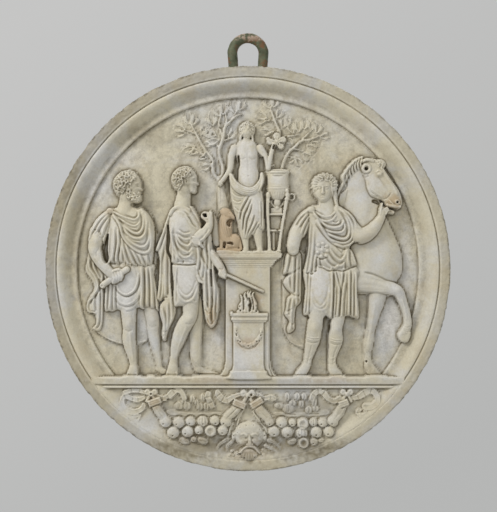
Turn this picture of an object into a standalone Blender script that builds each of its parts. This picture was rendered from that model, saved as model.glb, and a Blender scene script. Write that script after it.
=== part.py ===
"""Marble relief roundel: a turned frame round a sunk field, with a carved scene of two cloaked men,
an altar, a statue on a pedestal and an attendant with a horse above a ledge, fruit swags and a mask
below it, and a forged hanging bow set in the top edge.
Metres, +Z up, the front faces -Y. The origin is the point of the bow's inside that bears on its hook."""
import math

import bmesh
import bpy
import numpy as np

# Frame of the marble: widths from the edge inwards, then heights over the field
ROUNDEL_RADIUS = 0.300
RIM_WIDTH = 0.0165
QUIRK_WIDTH = 0.002
SHOULDER_WIDTH = 0.0075
SLOPE_WIDTH = 0.012
LIP_WIDTH = 0.009
EDGE_CHAMFER = 0.0025
RIM_HEIGHT = 0.020
RIM_FALL = 0.001
QUIRK_SETBACK = 0.0035
SHOULDER_SETBACK = 0.0015
HOLLOW_HEIGHT = 0.004
LIP_RISE = 0.0015
BACK_DEPTH = 0.034
FRAME_STEPS = 80

# Ledge: height of its front edge under the middle, fall of its top, two fillets, and how far it lies back
LEDGE_EDGE = -0.163
LEDGE_FALL = 0.006
LEDGE_WIDTH = 0.008
LEDGE_SETBACK = 0.0015
FILLET_WIDTH = 0.0055
FILLET_SETBACK = 0.003

# Shallow field below the ledge, which curves up to the rim
LOWER_FIELD_SETBACK = 0.010
LOWER_FIELD_CURVE = 0.020
LOWER_FIELD_OVERLAP = 0.0007
LOWER_FIELD_BED = 0.002
SWAG_RISE = 0.8

# Carving: height of its foremost forms over the field, and how finely it is cut
CARVING_DEPTH = 0.031
CARVING_ROOT = 0.003
CARVING_STEP = 0.0022
CARVING_SHARE = 0.0405

# Hanging bow
BOW_RADIUS = 0.0235
BOW_BAR_RADIUS = 0.007
BOW_RISE = 0.020
BOW_FOOT_HALF_WIDTH = 0.0195
BOW_LEG_DEPTH = 0.035
BOW_CLEARANCE = 0.0004

# Places that follow from the sizes
ROUNDEL_CENTRE_Z = -(ROUNDEL_RADIUS + BOW_RISE + BOW_RADIUS - BOW_BAR_RADIUS)
RIM_INNER = ROUNDEL_RADIUS - RIM_WIDTH
SHOULDER_OUTER = RIM_INNER - QUIRK_WIDTH
SLOPE_OUTER = SHOULDER_OUTER - SHOULDER_WIDTH
SLOPE_INNER = SLOPE_OUTER - SLOPE_WIDTH
FIELD_RADIUS = SLOPE_INNER - LIP_WIDTH
LEDGE_BOTTOM = LEDGE_EDGE - LEDGE_WIDTH
FILLET_BOTTOM = LEDGE_BOTTOM - FILLET_WIDTH
RIM_INNER_HEIGHT = RIM_HEIGHT - RIM_FALL
QUIRK_HEIGHT = RIM_HEIGHT - QUIRK_SETBACK
SHOULDER_HEIGHT = RIM_HEIGHT - SHOULDER_SETBACK

# The carving is drawn for a field of 253 units and a depth of 38, and follows the real field
DRAWN_RADIUS = 253.0
DRAWN_DEPTH = 38.0
UNIT = FIELD_RADIUS / DRAWN_RADIUS
RISE_UNIT = CARVING_DEPTH / DRAWN_DEPTH

MARBLE = ("marble", (0.55, 0.52, 0.44, 1.0), 0.0, 0.55)
IRON = ("painted iron", (0.10, 0.11, 0.06, 1.0), 0.4, 0.6)


def curve(points, fine=6):
    """Smooth run through the points; every column of them is carried along."""
    p = np.array(points, dtype=float)
    if len(p) < 3:
        return p
    q = np.vstack([2 * p[0] - p[1], p, 2 * p[-1] - p[-2]])
    t = (np.arange(fine) / fine)[:, None]
    run = []
    for a, b, c, d in zip(q, q[1:], q[2:], q[3:]):
        bend = (c - a) * t + (2 * a - 5 * b + 4 * c - d) * t ** 2 + (3 * b - a - 3 * c + d) * t ** 3
        run.append(b + bend / 2)
    return np.vstack(run + [p[-1:]])


def closed(points, fine=4):
    """Smooth closed outline through the points."""
    p = list(points)
    return curve(p[-1:] + p + p[:2], fine)[fine:-fine - 1]


def along(path, share):
    """Point at a share of the way along a run of points."""
    place = share * (len(path) - 1)
    k = min(int(place), len(path) - 2)
    return path[k] + (place - k) * (path[k + 1] - path[k])


def nearest(a, b, x, z):
    """Share of the way from a to b that lies nearest, and the distance to it."""
    dx, dz = b[0] - a[0], b[1] - a[1]
    t = np.clip(((x - a[0]) * dx + (z - a[1]) * dz) / (dx * dx + dz * dz + 1e-9), 0, 1)
    return t, np.hypot(x - a[0] - t * dx, z - a[1] - t * dz)


class Carving:
    """Heights of the carved forms over the field, on a square grid in drawn units."""

    def __init__(self, half, step, root):
        count = int(round(2 * half / step)) + 1
        self.half = half
        self.root = root
        self.axis = np.linspace(-half, half, count)
        self.step = 2 * half / (count - 1)
        self.height = np.full((count, count), -root)

    def window(self, path, pad):
        """Part of the grid round a path."""
        low = np.floor((path[:, :2].min(0) - pad + self.half) / self.step).astype(int)
        high = np.ceil((path[:, :2].max(0) + pad + self.half) / self.step).astype(int) + 1
        low = np.clip(low, 0, len(self.axis))
        high = np.clip(high, 0, len(self.axis))
        cut = (slice(low[1], high[1]), slice(low[0], high[0]))
        x, z = np.meshgrid(self.axis[cut[1]], self.axis[cut[0]])
        return cut, x, z

    def raise_to(self, cut, height, inside, soft):
        """Join a form to what is carved, with a soft inner corner; returns where it lies."""
        old = self.height[cut]
        new = np.maximum(old, height)
        if soft > 0:
            new = new + np.clip(soft - abs(old - height), 0, None) ** 2 / (4 * soft)
        self.height[cut] = np.where(inside, new, old)
        where = np.zeros(self.height.shape, dtype=bool)
        where[cut] = inside
        return where

    def limb(self, points, flat=1.0, soft=1.5, smooth=True):
        """Round form through points of x, z, radius and depth of its middle."""
        path = curve(points) if smooth else np.array(points, dtype=float)
        cut, x, z = self.window(path, path[:, 2].max())
        height = np.full(x.shape, -2 * DRAWN_DEPTH)
        for a, b in zip(path, path[1:]):
            t, away = nearest(a, b, x, z)
            rest = (a[2] + t * (b[2] - a[2])) ** 2 - away ** 2
            front = a[3] + t * (b[3] - a[3]) + flat * np.sqrt(np.clip(rest, 0, None))
            height = np.where(rest > 0, np.maximum(height, front), height)
        return self.raise_to(cut, height, height > -DRAWN_DEPTH, soft)

    def ball(self, x, z, across, up, deep, middle, soft=1.5):
        """Front of an egg with its own three half sizes."""
        cut, gx, gz = self.window(np.array([[x, z]]), max(across, up))
        rest = 1 - ((gx - x) / across) ** 2 - ((gz - z) / up) ** 2
        return self.raise_to(cut, middle + deep * np.sqrt(np.clip(rest, 0, None)), rest > 0, soft)

    def mass(self, outline, wall, rise, edge, smooth=True):
        """Form inside an outline: an upright wall, then a rounded shoulder as wide as edge."""
        path = closed(outline) if smooth else np.array(outline, dtype=float)
        cut, x, z = self.window(path, 0)
        inside = np.zeros(x.shape, dtype=bool)
        near = np.full(x.shape, DRAWN_RADIUS)
        for a, b in zip(path, np.roll(path, -1, axis=0)):
            near = np.minimum(near, nearest(a, b, x, z)[1])
            if b[1] != a[1]:
                level = (z >= a[1]) != (z >= b[1])
                inside ^= level & (x < a[0] + (z - a[1]) * (b[0] - a[0]) / (b[1] - a[1]))
        t = np.clip(near / edge, 0, 1)
        return self.raise_to(cut, wall + rise * np.sqrt(1 - (1 - t) ** 2), inside, 0)

    def fold(self, points, width, rise, over, fade=(0.15, 0.15)):
        """Ridge along the points with a hollow on its right, on one form only."""
        path = curve(points)
        cut, x, z = self.window(path, 4 * width)
        near = np.full(x.shape, DRAWN_RADIUS)
        share = np.zeros(x.shape)
        side = np.ones(x.shape)
        length = np.concatenate([[0], np.cumsum(np.hypot(*np.diff(path[:, :2], axis=0).T))])
        for k, (a, b) in enumerate(zip(path, path[1:])):
            t, away = nearest(a, b, x, z)
            closer = away < near
            near = np.where(closer, away, near)
            share = np.where(closer, (length[k] + t * (length[k + 1] - length[k])) / length[-1], share)
            turn = (z - a[1]) * (b[0] - a[0]) - (x - a[0]) * (b[1] - a[1])
            side = np.where(closer, np.where(turn < 0, -1.0, 1.0), side)
        begin = np.clip(share / fade[0], 0, 1)
        end = np.clip((1 - share) / fade[1], 0, 1)
        away = near * side
        section = np.exp(-(away / width) ** 2) - 0.9 * np.exp(-((away - 1.7 * width) / (0.85 * width)) ** 2)
        self.height[cut] += np.where(over[cut], rise * begin * end * section, 0)

    def pleats(self, top, hem, count, width, rise, over):
        """Upright folds shared out evenly between a waist line and a hem line."""
        top = curve(top)
        hem = curve(hem)
        for k in range(count):
            share = (k + 0.5) / count
            a = along(top, share)
            b = along(hem, share)
            size = 0.75 if k % 3 == 1 else 1.0
            self.fold([tuple(a), tuple((a + b) / 2), tuple(b)], width * size, rise * size, over, (0.3, 0.02))

    def swags(self, left, right, sags, width, rise, over, drop=0.0):
        """Hanging folds between two points, one for each sag, each starting lower by drop."""
        for k, sag in enumerate(sags):
            a = np.array([left[0], left[1] - k * drop])
            b = np.array([right[0], right[1] - k * drop])
            quarter = (a * 3 + b) / 4 - (0, 0.66 * sag)
            three_quarters = (a + b * 3) / 4 - (0, 0.66 * sag)
            low = (a + b) / 2 - (0, sag)
            self.fold([a, quarter, low, three_quarters, b], width, rise, over, (0.12, 0.2))


def profile_head(c, x, z, size, middle, bearded):
    """Bare forms of a head that faces right, as shares of its height: neck, skull, face, nose, chin."""
    s = size
    c.limb([(x - 0.06 * s, z - 0.66 * s, 0.27 * s, middle), (x - 0.06 * s, z - 0.2 * s, 0.25 * s, middle)])
    c.ball(x - 0.06 * s, z + 0.06 * s, 0.42 * s, 0.42 * s, 0.32 * s, middle)
    c.limb([(x + 0.14 * s, z + 0.12 * s, 0.2 * s, middle), (x + 0.15 * s, z - 0.2 * s, 0.18 * s, middle)])
    c.limb([(x + 0.33 * s, z + 0.05 * s, 0.04 * s, middle + 2),
            (x + 0.38 * s, z - 0.05 * s, 0.055 * s, middle + 2)])
    c.limb([(x + 0.25 * s, z - 0.24 * s, 0.1 * s, middle), (x + 0.22 * s, z - 0.31 * s, 0.1 * s, middle)])
    if bearded:
        c.limb([(x - 0.08 * s, z - 0.1 * s, 0.13 * s, middle + 3),
                (x + 0.06 * s, z - 0.3 * s, 0.17 * s, middle + 2),
                (x + 0.2 * s, z - 0.36 * s, 0.14 * s, middle + 1)])


def tree_branches(c):
    """Bare laurel branches with their leaf bunches, as two low trees behind the statue."""
    branches = (
        [(-45, 133, 3, 3), (-52, 148, 2.8, 4), (-56, 166, 2.6, 4), (-68, 180, 2.4, 4), (-86, 216, 1.8, 4)],
        [(-42, 133, 3, 3), (-38, 150, 2.8, 4), (-43, 172, 2.6, 4), (-38, 198, 2.4, 4), (-12, 230, 1.8, 4)],
        [(-40, 198, 2, 4), (-43, 214, 1.8, 4), (-38, 230, 1.6, 4)],
        [(45, 196, 2.8, 3), (44, 210, 2.4, 4), (39, 222, 2.2, 4), (35, 236, 1.8, 4)],
        [(48, 150, 3, 3), (56, 172, 2.8, 4), (70, 182, 2.4, 4), (84, 193, 2.2, 4), (106, 196, 1.8, 4)],
    )
    for branch in branches:
        c.limb(branch)
    left_leaves = ((-87, 222), (-95, 206), (-85, 182), (-72, 200), (-50, 220), (-42, 236), (-20, 238),
                   (-56, 202), (-28, 196), (-61, 151), (-58, 172))
    right_leaves = ((35, 245), (24, 229), (32, 206), (53, 216), (65, 200), (83, 206), (98, 210), (86, 171),
                    (67, 165), (78, 158), (109, 195), (45, 188))
    for x, z in left_leaves + right_leaves:
        c.ball(x, z, 7, 6.5, 5, 4)


def pedestal_and_altar(c):
    """Tall pedestal with its cornice, and the burning altar in front of it."""
    c.mass([(-33, 4), (-33, -142), (-47, -164), (47, -164), (33, -142), (33, 4)], 12, 1, 1, smooth=False)
    c.mass([(-45, 22), (-45, 15), (-36, 9), (-33, 0), (33, 0), (36, 9), (49, 15), (49, 22)], 16, 2, 2,
           smooth=False)
    c.mass([(-30, -164), (-22, -148), (-21, -78), (31, -78), (31, -148), (34, -164)], 22, 1, 1, smooth=False)
    c.mass([(-26, -66), (-26, -79), (31, -79), (31, -66)], 27, 1.5, 1.5, smooth=False)
    c.limb([(-18, -90, 3, 22), (-12, -105, 4, 22), (0, -114, 4.5, 22), (13, -106, 4, 22), (19, -89, 3, 22)])
    c.mass([(-11, -65), (-12, -50), (-5, -38), (-2, -47), (2, -35), (6, -47), (12, -42), (13, -65)], 18, 8, 6)


def tripod(c):
    """Bowl with three bands on slender legs beside the statue."""
    c.mass([(29, 145), (29, 111), (59, 111), (59, 145)], 10, 8, 12, smooth=False)
    for level in (142, 121, 112):
        c.limb([(28, level, 2.5, 12), (60, level, 2.5, 12)], flat=3.5)
    c.ball(44, 112, 14, 15, 12, 7)
    c.limb([(30, 105, 2.8, 14), (28, 66, 2.8, 13), (31, 24, 2.8, 12)])
    c.limb([(57, 102, 2.8, 14), (52, 64, 2.8, 13), (46, 24, 2.8, 12)])
    c.mass([(33, 90), (33, 80), (51, 80), (51, 90)], 9, 3, 3, smooth=False)
    c.limb([(30, 56, 2.4, 12), (50, 56, 2.4, 12)])


def statue(c):
    """Small statue with drapery round the hips, and the animal seated beside it."""
    c.ball(-32, 55, 11, 19, 12, 8)
    c.ball(-30, 82, 7, 8, 9, 9)
    c.limb([(-27, 78, 4, 10), (-19, 73, 2, 11)])
    c.ball(-20, 36, 9, 9, 10, 10)
    c.limb([(-38, 44, 4, 12), (-38, 25, 3, 12)])
    c.mass([(-46, 29), (-46, 20), (46, 20), (46, 29)], 17, 2, 2, smooth=False)
    c.limb([(-12, 60, 8, 10), (-9, 26, 5, 12)])
    c.limb([(12, 60, 9, 10), (17, 26, 5, 12)])
    skirt = c.mass([(-27, 135), (-27, 110), (-20, 80), (-13, 45), (2, 40), (10, 50), (20, 60), (22, 85),
                    (20, 110), (21, 132), (0, 120)], 11, 11, 11)
    c.limb([(0, 126, 15, 9), (0, 146, 15, 9), (-2, 166, 17, 9), (-2, 176, 17, 9)], flat=0.8)
    c.limb([(-20, 178, 7, 10), (-25, 158, 5.5, 12), (-30, 142, 5, 14), (-40, 131, 4.5, 14)])
    c.limb([(19, 178, 7, 10), (27, 160, 5, 12), (29, 147, 4.5, 14), (33, 165, 4, 15), (36, 184, 3.8, 14)])
    c.limb([(-2, 184, 6, 10), (-2, 196, 6, 10)])
    c.ball(-2, 205, 9, 12, 9, 11)
    for side in (-1, 1):
        c.limb([(-2 + 7 * side, 208, 4, 10), (-2 + 11 * side, 196, 4, 10), (-2 + 10 * side, 184, 3, 11)])
    c.limb([(-28, 134, 4.5, 16), (-12, 118, 5, 20), (4, 114, 5, 20), (20, 130, 4, 16)])
    c.pleats([(-20, 116), (16, 116)], [(-12, 46), (20, 62)], 4, 2.6, 2.2, skirt)


def horse(c):
    """Horse turned back to the attendant, one foreleg raised."""
    c.mass([(150, -24), (152, 30), (146, 70), (140, 100), (134, 130), (146, 156), (165, 164), (190, 163),
            (198, 150), (196, 118), (200, 96), (206, 75), (216, 55), (226, 35), (231, 15), (230, -5),
            (222, -20), (200, -22), (170, -20)], 7, 15, 26)
    c.limb([(194, -30, 16, 2), (190, -62, 11, 4), (183, -90, 8, 3), (179, -118, 7, 3),
            (181, -142, 7, 3), (187, -156, 8, 3)])
    c.limb([(168, -18, 16, 8), (195, -27, 12, 12), (222, -30, 10, 14)])
    c.limb([(224, -32, 9.5, 14), (232, -55, 7, 12), (236, -72, 6, 12), (232, -88, 6, 11), (229, -101, 8, 11)])
    c.limb([(180, 143, 16, 13), (188, 127, 19, 13), (203, 110, 14, 16), (216, 98, 11, 18), (221, 91, 8, 18)])
    c.limb([(200, 156, 7, 12), (206, 162, 4, 12)])
    for k in range(5):
        c.limb([(162 - 3 * k, 158 - 13 * k, 4.5, 17), (150 - 3 * k, 149 - 14 * k, 4, 16),
                (143 - 3 * k, 136 - 14 * k, 3, 13)])


def elder(c):
    """Bearded man in profile, a rolled scroll in his hand and his cloak hanging behind."""
    cloak = c.mass([(-200, 88), (-222, 76), (-232, 50), (-238, 15), (-241, -5), (-230, -20), (-223, -34),
                    (-238, -46), (-240, -60), (-222, -67), (-222, -79), (-228, -97), (-206, -108),
                    (-185, -113), (-150, -108), (-142, -60), (-134, 30), (-139, 60), (-150, 85)], 5, 5, 8)
    c.pleats([(-234, 20), (-214, 20)], [(-232, -60), (-215, -80)], 2, 3.5, 3, cloak)
    c.limb([(-148, -56, 11, 2), (-147, -78, 10, 3), (-145, -100, 9, 2), (-138, -125, 7, 2),
            (-133, -148, 5, 2), (-118, -158, 4, 2)])
    c.limb([(-180, -55, 13, 12), (-179, -80, 11, 13), (-178, -92, 10.5, 14), (-176, -112, 9, 12),
            (-172, -135, 6, 11), (-171, -146, 5.5, 10)])
    c.ball(-171, -155, 9, 8, 12, 8)
    skirt = c.mass([(-207, 8), (-213, -25), (-214, -58), (-200, -60), (-185, -63), (-165, -62), (-150, -57),
                    (-131, -60), (-137, -30), (-146, 8)], 13, 12, 14)
    c.ball(-180, -25, 17, 36, 9, 19, soft=6)
    c.pleats([(-203, 0), (-148, 0)], [(-211, -58), (-134, -58)], 7, 3.2, 3, skirt)
    chest = c.mass([(-216, 76), (-213, 50), (-208, 20), (-209, 6), (-195, 2), (-180, 4), (-165, -2),
                    (-150, 2), (-143, 10), (-138, 40), (-137, 60), (-144, 80), (-160, 88), (-190, 90),
                    (-206, 86)], 15, 13, 17)
    c.swags((-203, 86), (-147, 76), (8, 15, 22, 29), 3, 2.8, chest, drop=7)
    c.pleats([(-200, 40), (-145, 36)], [(-206, 5), (-147, 5)], 6, 2.8, 2.5, chest)
    profile_head(c, -177, 121, 50, 19, True)
    c.limb([(-214, 66, 14, 18), (-222, 45, 11, 22), (-229, 20, 9, 25), (-227, 8, 8.5, 27), (-215, -4, 8, 29),
            (-200, -13, 7.5, 30)], soft=3)
    c.ball(-194, -16, 9, 8, 6, 28)
    c.limb([(-212, -24, 4.5, 29), (-181, -3, 4.5, 31)])


def youth(c):
    """Younger man in profile, a staff held towards the altar and his cloak over one arm."""
    cloak = c.mass([(-113, 90), (-124, 65), (-135, 25), (-131, 0), (-133, -48), (-126, -44), (-127, -66),
                    (-127, -96), (-118, -106), (-110, -90), (-107, -55), (-104, 0), (-96, 60)], 11, 8, 9)
    c.pleats([(-127, 50), (-112, 50)], [(-130, -90), (-112, -90)], 2, 3.2, 3, cloak)
    c.limb([(-80, -50, 11, 3), (-79, -85, 9, 3), (-76, -115, 8, 2), (-73, -145, 5, 2), (-50, -158, 4, 2)])
    c.limb([(-88, -50, 14, 11), (-85, -74, 11.5, 14), (-92, -100, 10, 12), (-104, -125, 7, 10),
            (-112, -143, 5.5, 9), (-112, -158, 8, 8)])
    skirt = c.mass([(-112, 10), (-113, -20), (-110, -56), (-92, -58), (-74, -57), (-70, -30), (-72, 8)], 15,
                   12, 15)
    c.swags((-109, -22), (-72, -22), (14, 20), 3, 2, skirt, drop=10)
    chest = c.mass([(-116, 88), (-120, 60), (-114, 30), (-113, 6), (-95, 0), (-76, 5), (-72, 30), (-66, 50),
                    (-62, 70), (-74, 90), (-95, 94)], 15, 13, 17)
    c.swags((-113, 86), (-70, 82), (10, 18, 26), 3, 2.6, chest, drop=8)
    c.pleats([(-110, 30), (-76, 30)], [(-110, 6), (-78, 6)], 4, 2.8, 2.4, chest)
    profile_head(c, -92, 127, 46, 18, False)
    hanging = c.mass([(-78, 34), (-76, 20), (-68, -5), (-64, -45), (-60, -75), (-53, -88), (-45, -78),
                      (-42, -40), (-48, 0), (-50, 24), (-56, 38), (-66, 44)], 18, 9, 8)
    c.pleats([(-72, 30), (-56, 34)], [(-60, -70), (-46, -75)], 3, 2.6, 3, hanging)
    c.limb([(-110, 74, 13, 18), (-106, 52, 12, 21), (-92, 40, 10, 24), (-78, 41, 7, 27)], soft=3)
    c.limb([(-76, 45, 8, 25), (-66, 57, 6.5, 28), (-60, 68, 5, 29), (-56, 77, 4, 29), (-63, 83, 4, 29)])
    c.limb([(-58, 20, 7, 22), (-48, 4, 6, 25), (-40, -6, 6, 26)])
    c.limb([(-36, -7, 2.2, 24), (22, -34, 2.2, 24)])


def attendant(c):
    """Youth facing the front in a belted tunic and short cloak, his hand under the horse's jaw."""
    c.mass([(52, 20), (51, -30), (52, -85), (57, -105), (70, -115), (86, -117), (92, -70), (86, 20)], 4, 4, 6)
    c.limb([(106, -60, 13, 12), (99, -90, 11, 14), (96, -102, 10, 13), (91, -122, 8.5, 11),
            (88, -142, 6.5, 10), (80, -158, 7.5, 8)])
    c.limb([(135, -64, 13, 14), (132, -92, 10.5, 14), (130, -106, 10, 13), (127, -125, 8.5, 11),
            (126, -143, 6.5, 10), (134, -158, 7.5, 8)])
    skirt = c.mass([(88, 0), (85, -35), (82, -67), (100, -67), (118, -70), (135, -72), (165, -72), (163, -35),
                    (160, 0)], 15, 12, 15)
    c.ball(107, -34, 17, 38, 9, 20, soft=6)
    c.pleats([(92, -4), (158, -4)], [(85, -66), (163, -70)], 8, 3, 3, skirt)
    chest = c.mass([(80, 84), (86, 60), (88, 30), (82, -8), (105, 0), (130, 2), (158, -1), (157, 30),
                    (158, 55), (152, 80), (130, 92), (100, 94)], 16, 13, 17)
    c.swags((93, 86), (152, 62), (8, 15, 22), 3.2, 3, chest, drop=8)
    c.pleats([(92, 34), (152, 30)], [(88, -4), (156, 2)], 7, 2.8, 2.6, chest)
    hanging = c.mass([(53, 20), (52, -10), (53, -22), (56, -35), (54, -67), (56, -86), (62, -94), (68, -82),
                      (70, -57), (78, -40), (80, -5), (78, 20)], 13, 10, 8)
    c.pleats([(56, 14), (76, 14)], [(57, -80), (70, -50)], 3, 2.8, 3, hanging)
    c.limb([(84, 74, 14, 18), (74, 56, 12.5, 22), (68, 42, 10.5, 25), (66, 31, 9.5, 26)], soft=3)
    c.limb([(116, 80, 12, 18), (115, 100, 11, 18)])
    c.ball(113, 115, 15, 21, 16, 16)
    c.ball(113, 126, 19, 15, 15, 16)
    for side in (-1, 1):
        c.ball(113 + 14 * side, 108, 6, 14, 9, 15)
    c.limb([(150, 72, 13, 18), (162, 50, 11, 22), (178, 52, 9, 24), (192, 66, 8, 26), (199, 84, 7, 27)],
           soft=3)


def lower_field_level(away):
    """Height of the lower field over the main one at a distance from the disc's middle."""
    t = np.clip((away - RIM_INNER + LOWER_FIELD_CURVE) / LOWER_FIELD_CURVE, 0, 1)
    low = RIM_HEIGHT - LOWER_FIELD_SETBACK
    return low + (RIM_INNER_HEIGHT - low) * t * t * (3 - 2 * t)


def ledge_and_lower_field(c):
    """Sloping ledge that the figures stand on, the fillets at its front and the field below them."""
    x, z = np.meshgrid(c.axis * UNIT, c.axis * UNIT)
    away = np.hypot(x, z)
    top = (RIM_HEIGHT - LEDGE_SETBACK) * np.clip((LEDGE_EDGE + LEDGE_FALL - z) / LEDGE_FALL, 0, 1)
    field = lower_field_level(away)
    fillet = np.where(z > FILLET_BOTTOM, RIM_HEIGHT - FILLET_SETBACK, 0)
    level = np.where(z > LEDGE_BOTTOM, top, np.maximum(field, fillet)) / RISE_UNIT
    inside = (z < LEDGE_EDGE + LEDGE_FALL) & (away < RIM_INNER + LOWER_FIELD_OVERLAP)
    c.height = np.where(inside, np.maximum(c.height, level), c.height)


def swags(c):
    """Two fruit swags, their ribbons and a bearded mask, drawn over a ground of their own."""
    fruit_rows = ((34, 6, 18.5, -227, 8.6), (42, 5, 18.8, -241, 8.6), (62, 3, 17.5, -254, 7))
    for side in (-1, 1):
        for first, count, apart, z, size in fruit_rows:
            for k in range(count):
                x = first + k * apart
                lift = 4.0 * ((x - 80) / 46) ** 2
                c.ball(side * x, z + lift - 2, size, size, size, 5)
        c.limb([(side * 140, -193, 5, 5), (side * 138, -206, 8, 5), (side * 128, -220, 10, 5)])
        c.limb([(side * 12, -201, 5, 6), (side * 20, -213, 8, 6), (side * 31, -222, 10, 6)])
        c.ball(side * 143, -184, 7, 7, 8, 4)
        c.limb([(side * 150, -187, 4, 2), (side * 168, -183, 5, 2), (side * 186, -184, 6, 2),
                (side * 184, -204, 6, 2), (side * 167, -208, 5, 2), (side * 173, -222, 4, 2)], flat=0.8)
        c.limb([(side * 134, -187, 4, 2), (side * 118, -190, 5, 2), (side * 103, -184, 5, 2),
                (side * 92, -191, 4, 2)], flat=0.8)
        c.limb([(side * 6, -185, 4, 2), (side * 22, -192, 5, 2), (side * 40, -190, 5, 2),
                (side * 58, -184, 4, 2)], flat=0.8)
        c.limb([(side * 22, -250, 5, 2), (side * 34, -256, 5, 2), (side * 45, -266, 4, 2)], flat=0.8)
        c.ball(side * 76, -202, 28, 9, 6, 1)
    c.ball(0, -186, 8, 8, 9, 5)
    c.ball(1, -246, 24, 21, 12, 6)
    c.ball(1, -266, 15, 14, 10, 8)
    c.limb([(1, -246, 3, 14), (1, -257, 4.5, 15)])


def carved_heights():
    """All carved forms: figures and ledge over the main field, then the swags over the lower one."""
    size = (ROUNDEL_RADIUS / UNIT, CARVING_STEP / UNIT, CARVING_ROOT / RISE_UNIT)
    c = Carving(*size)
    for form in (tree_branches, pedestal_and_altar, tripod, statue, horse, elder, youth, attendant,
                 ledge_and_lower_field):
        form(c)
    hung = Carving(*size)
    swags(hung)
    x, z = np.meshgrid(c.axis * UNIT, c.axis * UNIT)
    ground = (lower_field_level(0 * x) + lower_field_level(np.hypot(x, z))) / 2 / RISE_UNIT
    lifted = np.minimum(ground + SWAG_RISE * hung.height, DRAWN_DEPTH)
    c.height = np.where(hung.height > -hung.root, np.maximum(c.height, lifted), c.height)
    return c


def new_collection(name):
    group = bpy.data.collections.new(name)
    bpy.context.scene.collection.children.link(group)
    return group


def new_material(name, colour, metallic, roughness):
    material = bpy.data.materials.new(name)
    material.use_nodes = True
    shader = material.node_tree.nodes["Principled BSDF"]
    shader.inputs["Base Color"].default_value = colour
    shader.inputs["Metallic"].default_value = metallic
    shader.inputs["Roughness"].default_value = roughness
    return material


def new_object(name, data, group, parent, material=None):
    thing = bpy.data.objects.new(name, data)
    group.objects.link(thing)
    thing.parent = parent
    if material:
        data.materials.append(material)
    return thing


def cutter(thing):
    """Mark an object that only shapes another one."""
    thing.hide_render = True
    thing.display_type = "WIRE"
    return thing


def boolean(thing, tool, operation):
    step = thing.modifiers.new(operation.lower() + " " + tool.name, "BOOLEAN")
    step.operation = operation
    step.object = tool
    step.solver = "EXACT"


def frame_profile():
    """Half section of the disc as radius and height over the field, from its middle round to the back."""
    rise = SHOULDER_HEIGHT - HOLLOW_HEIGHT
    return [(0, 0), (FIELD_RADIUS, 0), (FIELD_RADIUS + 0.2 * LIP_WIDTH, HOLLOW_HEIGHT + LIP_RISE),
            (FIELD_RADIUS + 0.55 * LIP_WIDTH, HOLLOW_HEIGHT + 0.4 * LIP_RISE), (SLOPE_INNER, HOLLOW_HEIGHT),
            (SLOPE_INNER + 0.3 * SLOPE_WIDTH, HOLLOW_HEIGHT + 0.2 * rise),
            (SLOPE_INNER + 0.65 * SLOPE_WIDTH, HOLLOW_HEIGHT + 0.6 * rise),
            (SLOPE_OUTER, HOLLOW_HEIGHT + 0.88 * rise), (SLOPE_OUTER + 0.55 * SHOULDER_WIDTH, SHOULDER_HEIGHT),
            (SHOULDER_OUTER, HOLLOW_HEIGHT + 0.95 * rise), (RIM_INNER - 0.5 * QUIRK_WIDTH, QUIRK_HEIGHT),
            (RIM_INNER, RIM_INNER_HEIGHT), (ROUNDEL_RADIUS - EDGE_CHAMFER, RIM_HEIGHT),
            (ROUNDEL_RADIUS, RIM_HEIGHT - EDGE_CHAMFER), (ROUNDEL_RADIUS, EDGE_CHAMFER - BACK_DEPTH),
            (ROUNDEL_RADIUS - EDGE_CHAMFER, -BACK_DEPTH), (0, -BACK_DEPTH)]


def turned_disc(group, parent, material):
    """Marble disc with its frame, turned about the axis through the field."""
    mesh = bpy.data.meshes.new("marble_roundel")
    section = [(radius, 0, height) for radius, height in frame_profile()]
    mesh.from_pydata(section, [(k, k + 1) for k in range(len(section) - 1)], [])
    disc = new_object("marble_roundel", mesh, group, parent, material)
    disc.rotation_euler = (math.radians(90), 0, 0)
    turn = disc.modifiers.new("turn", "SCREW")
    turn.axis = "Z"
    turn.angle = math.tau
    turn.steps = FRAME_STEPS
    turn.render_steps = FRAME_STEPS
    turn.use_merge_vertices = True
    turn.merge_threshold = 0.0001
    turn.use_normal_calculate = True
    return disc


def lower_field_cutter(group, parent):
    """Segment of a circle that clears the frame below the ledge, down to the lower field's bed."""
    half_angle = math.acos(-LEDGE_BOTTOM / RIM_INNER)
    bm = bmesh.new()
    arc = [half_angle * (2 * k / 24 - 1) for k in range(25)]
    front = -RIM_HEIGHT - 0.01
    loop = [bm.verts.new((RIM_INNER * math.sin(a), front,
                          -RIM_INNER * math.cos(a))) for a in arc]
    face = bm.faces.new(loop)
    pushed = bmesh.ops.extrude_face_region(bm, geom=[face])
    corners = [item for item in pushed["geom"] if isinstance(item, bmesh.types.BMVert)]
    bed = LOWER_FIELD_SETBACK + LOWER_FIELD_BED - RIM_HEIGHT
    bmesh.ops.translate(bm, verts=corners, vec=(0, bed - front, 0))
    bmesh.ops.recalc_face_normals(bm, faces=bm.faces)
    mesh = bpy.data.meshes.new("lower_field")
    bm.to_mesh(mesh)
    bm.free()
    return cutter(new_object("lower_field", mesh, group, parent))


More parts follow.
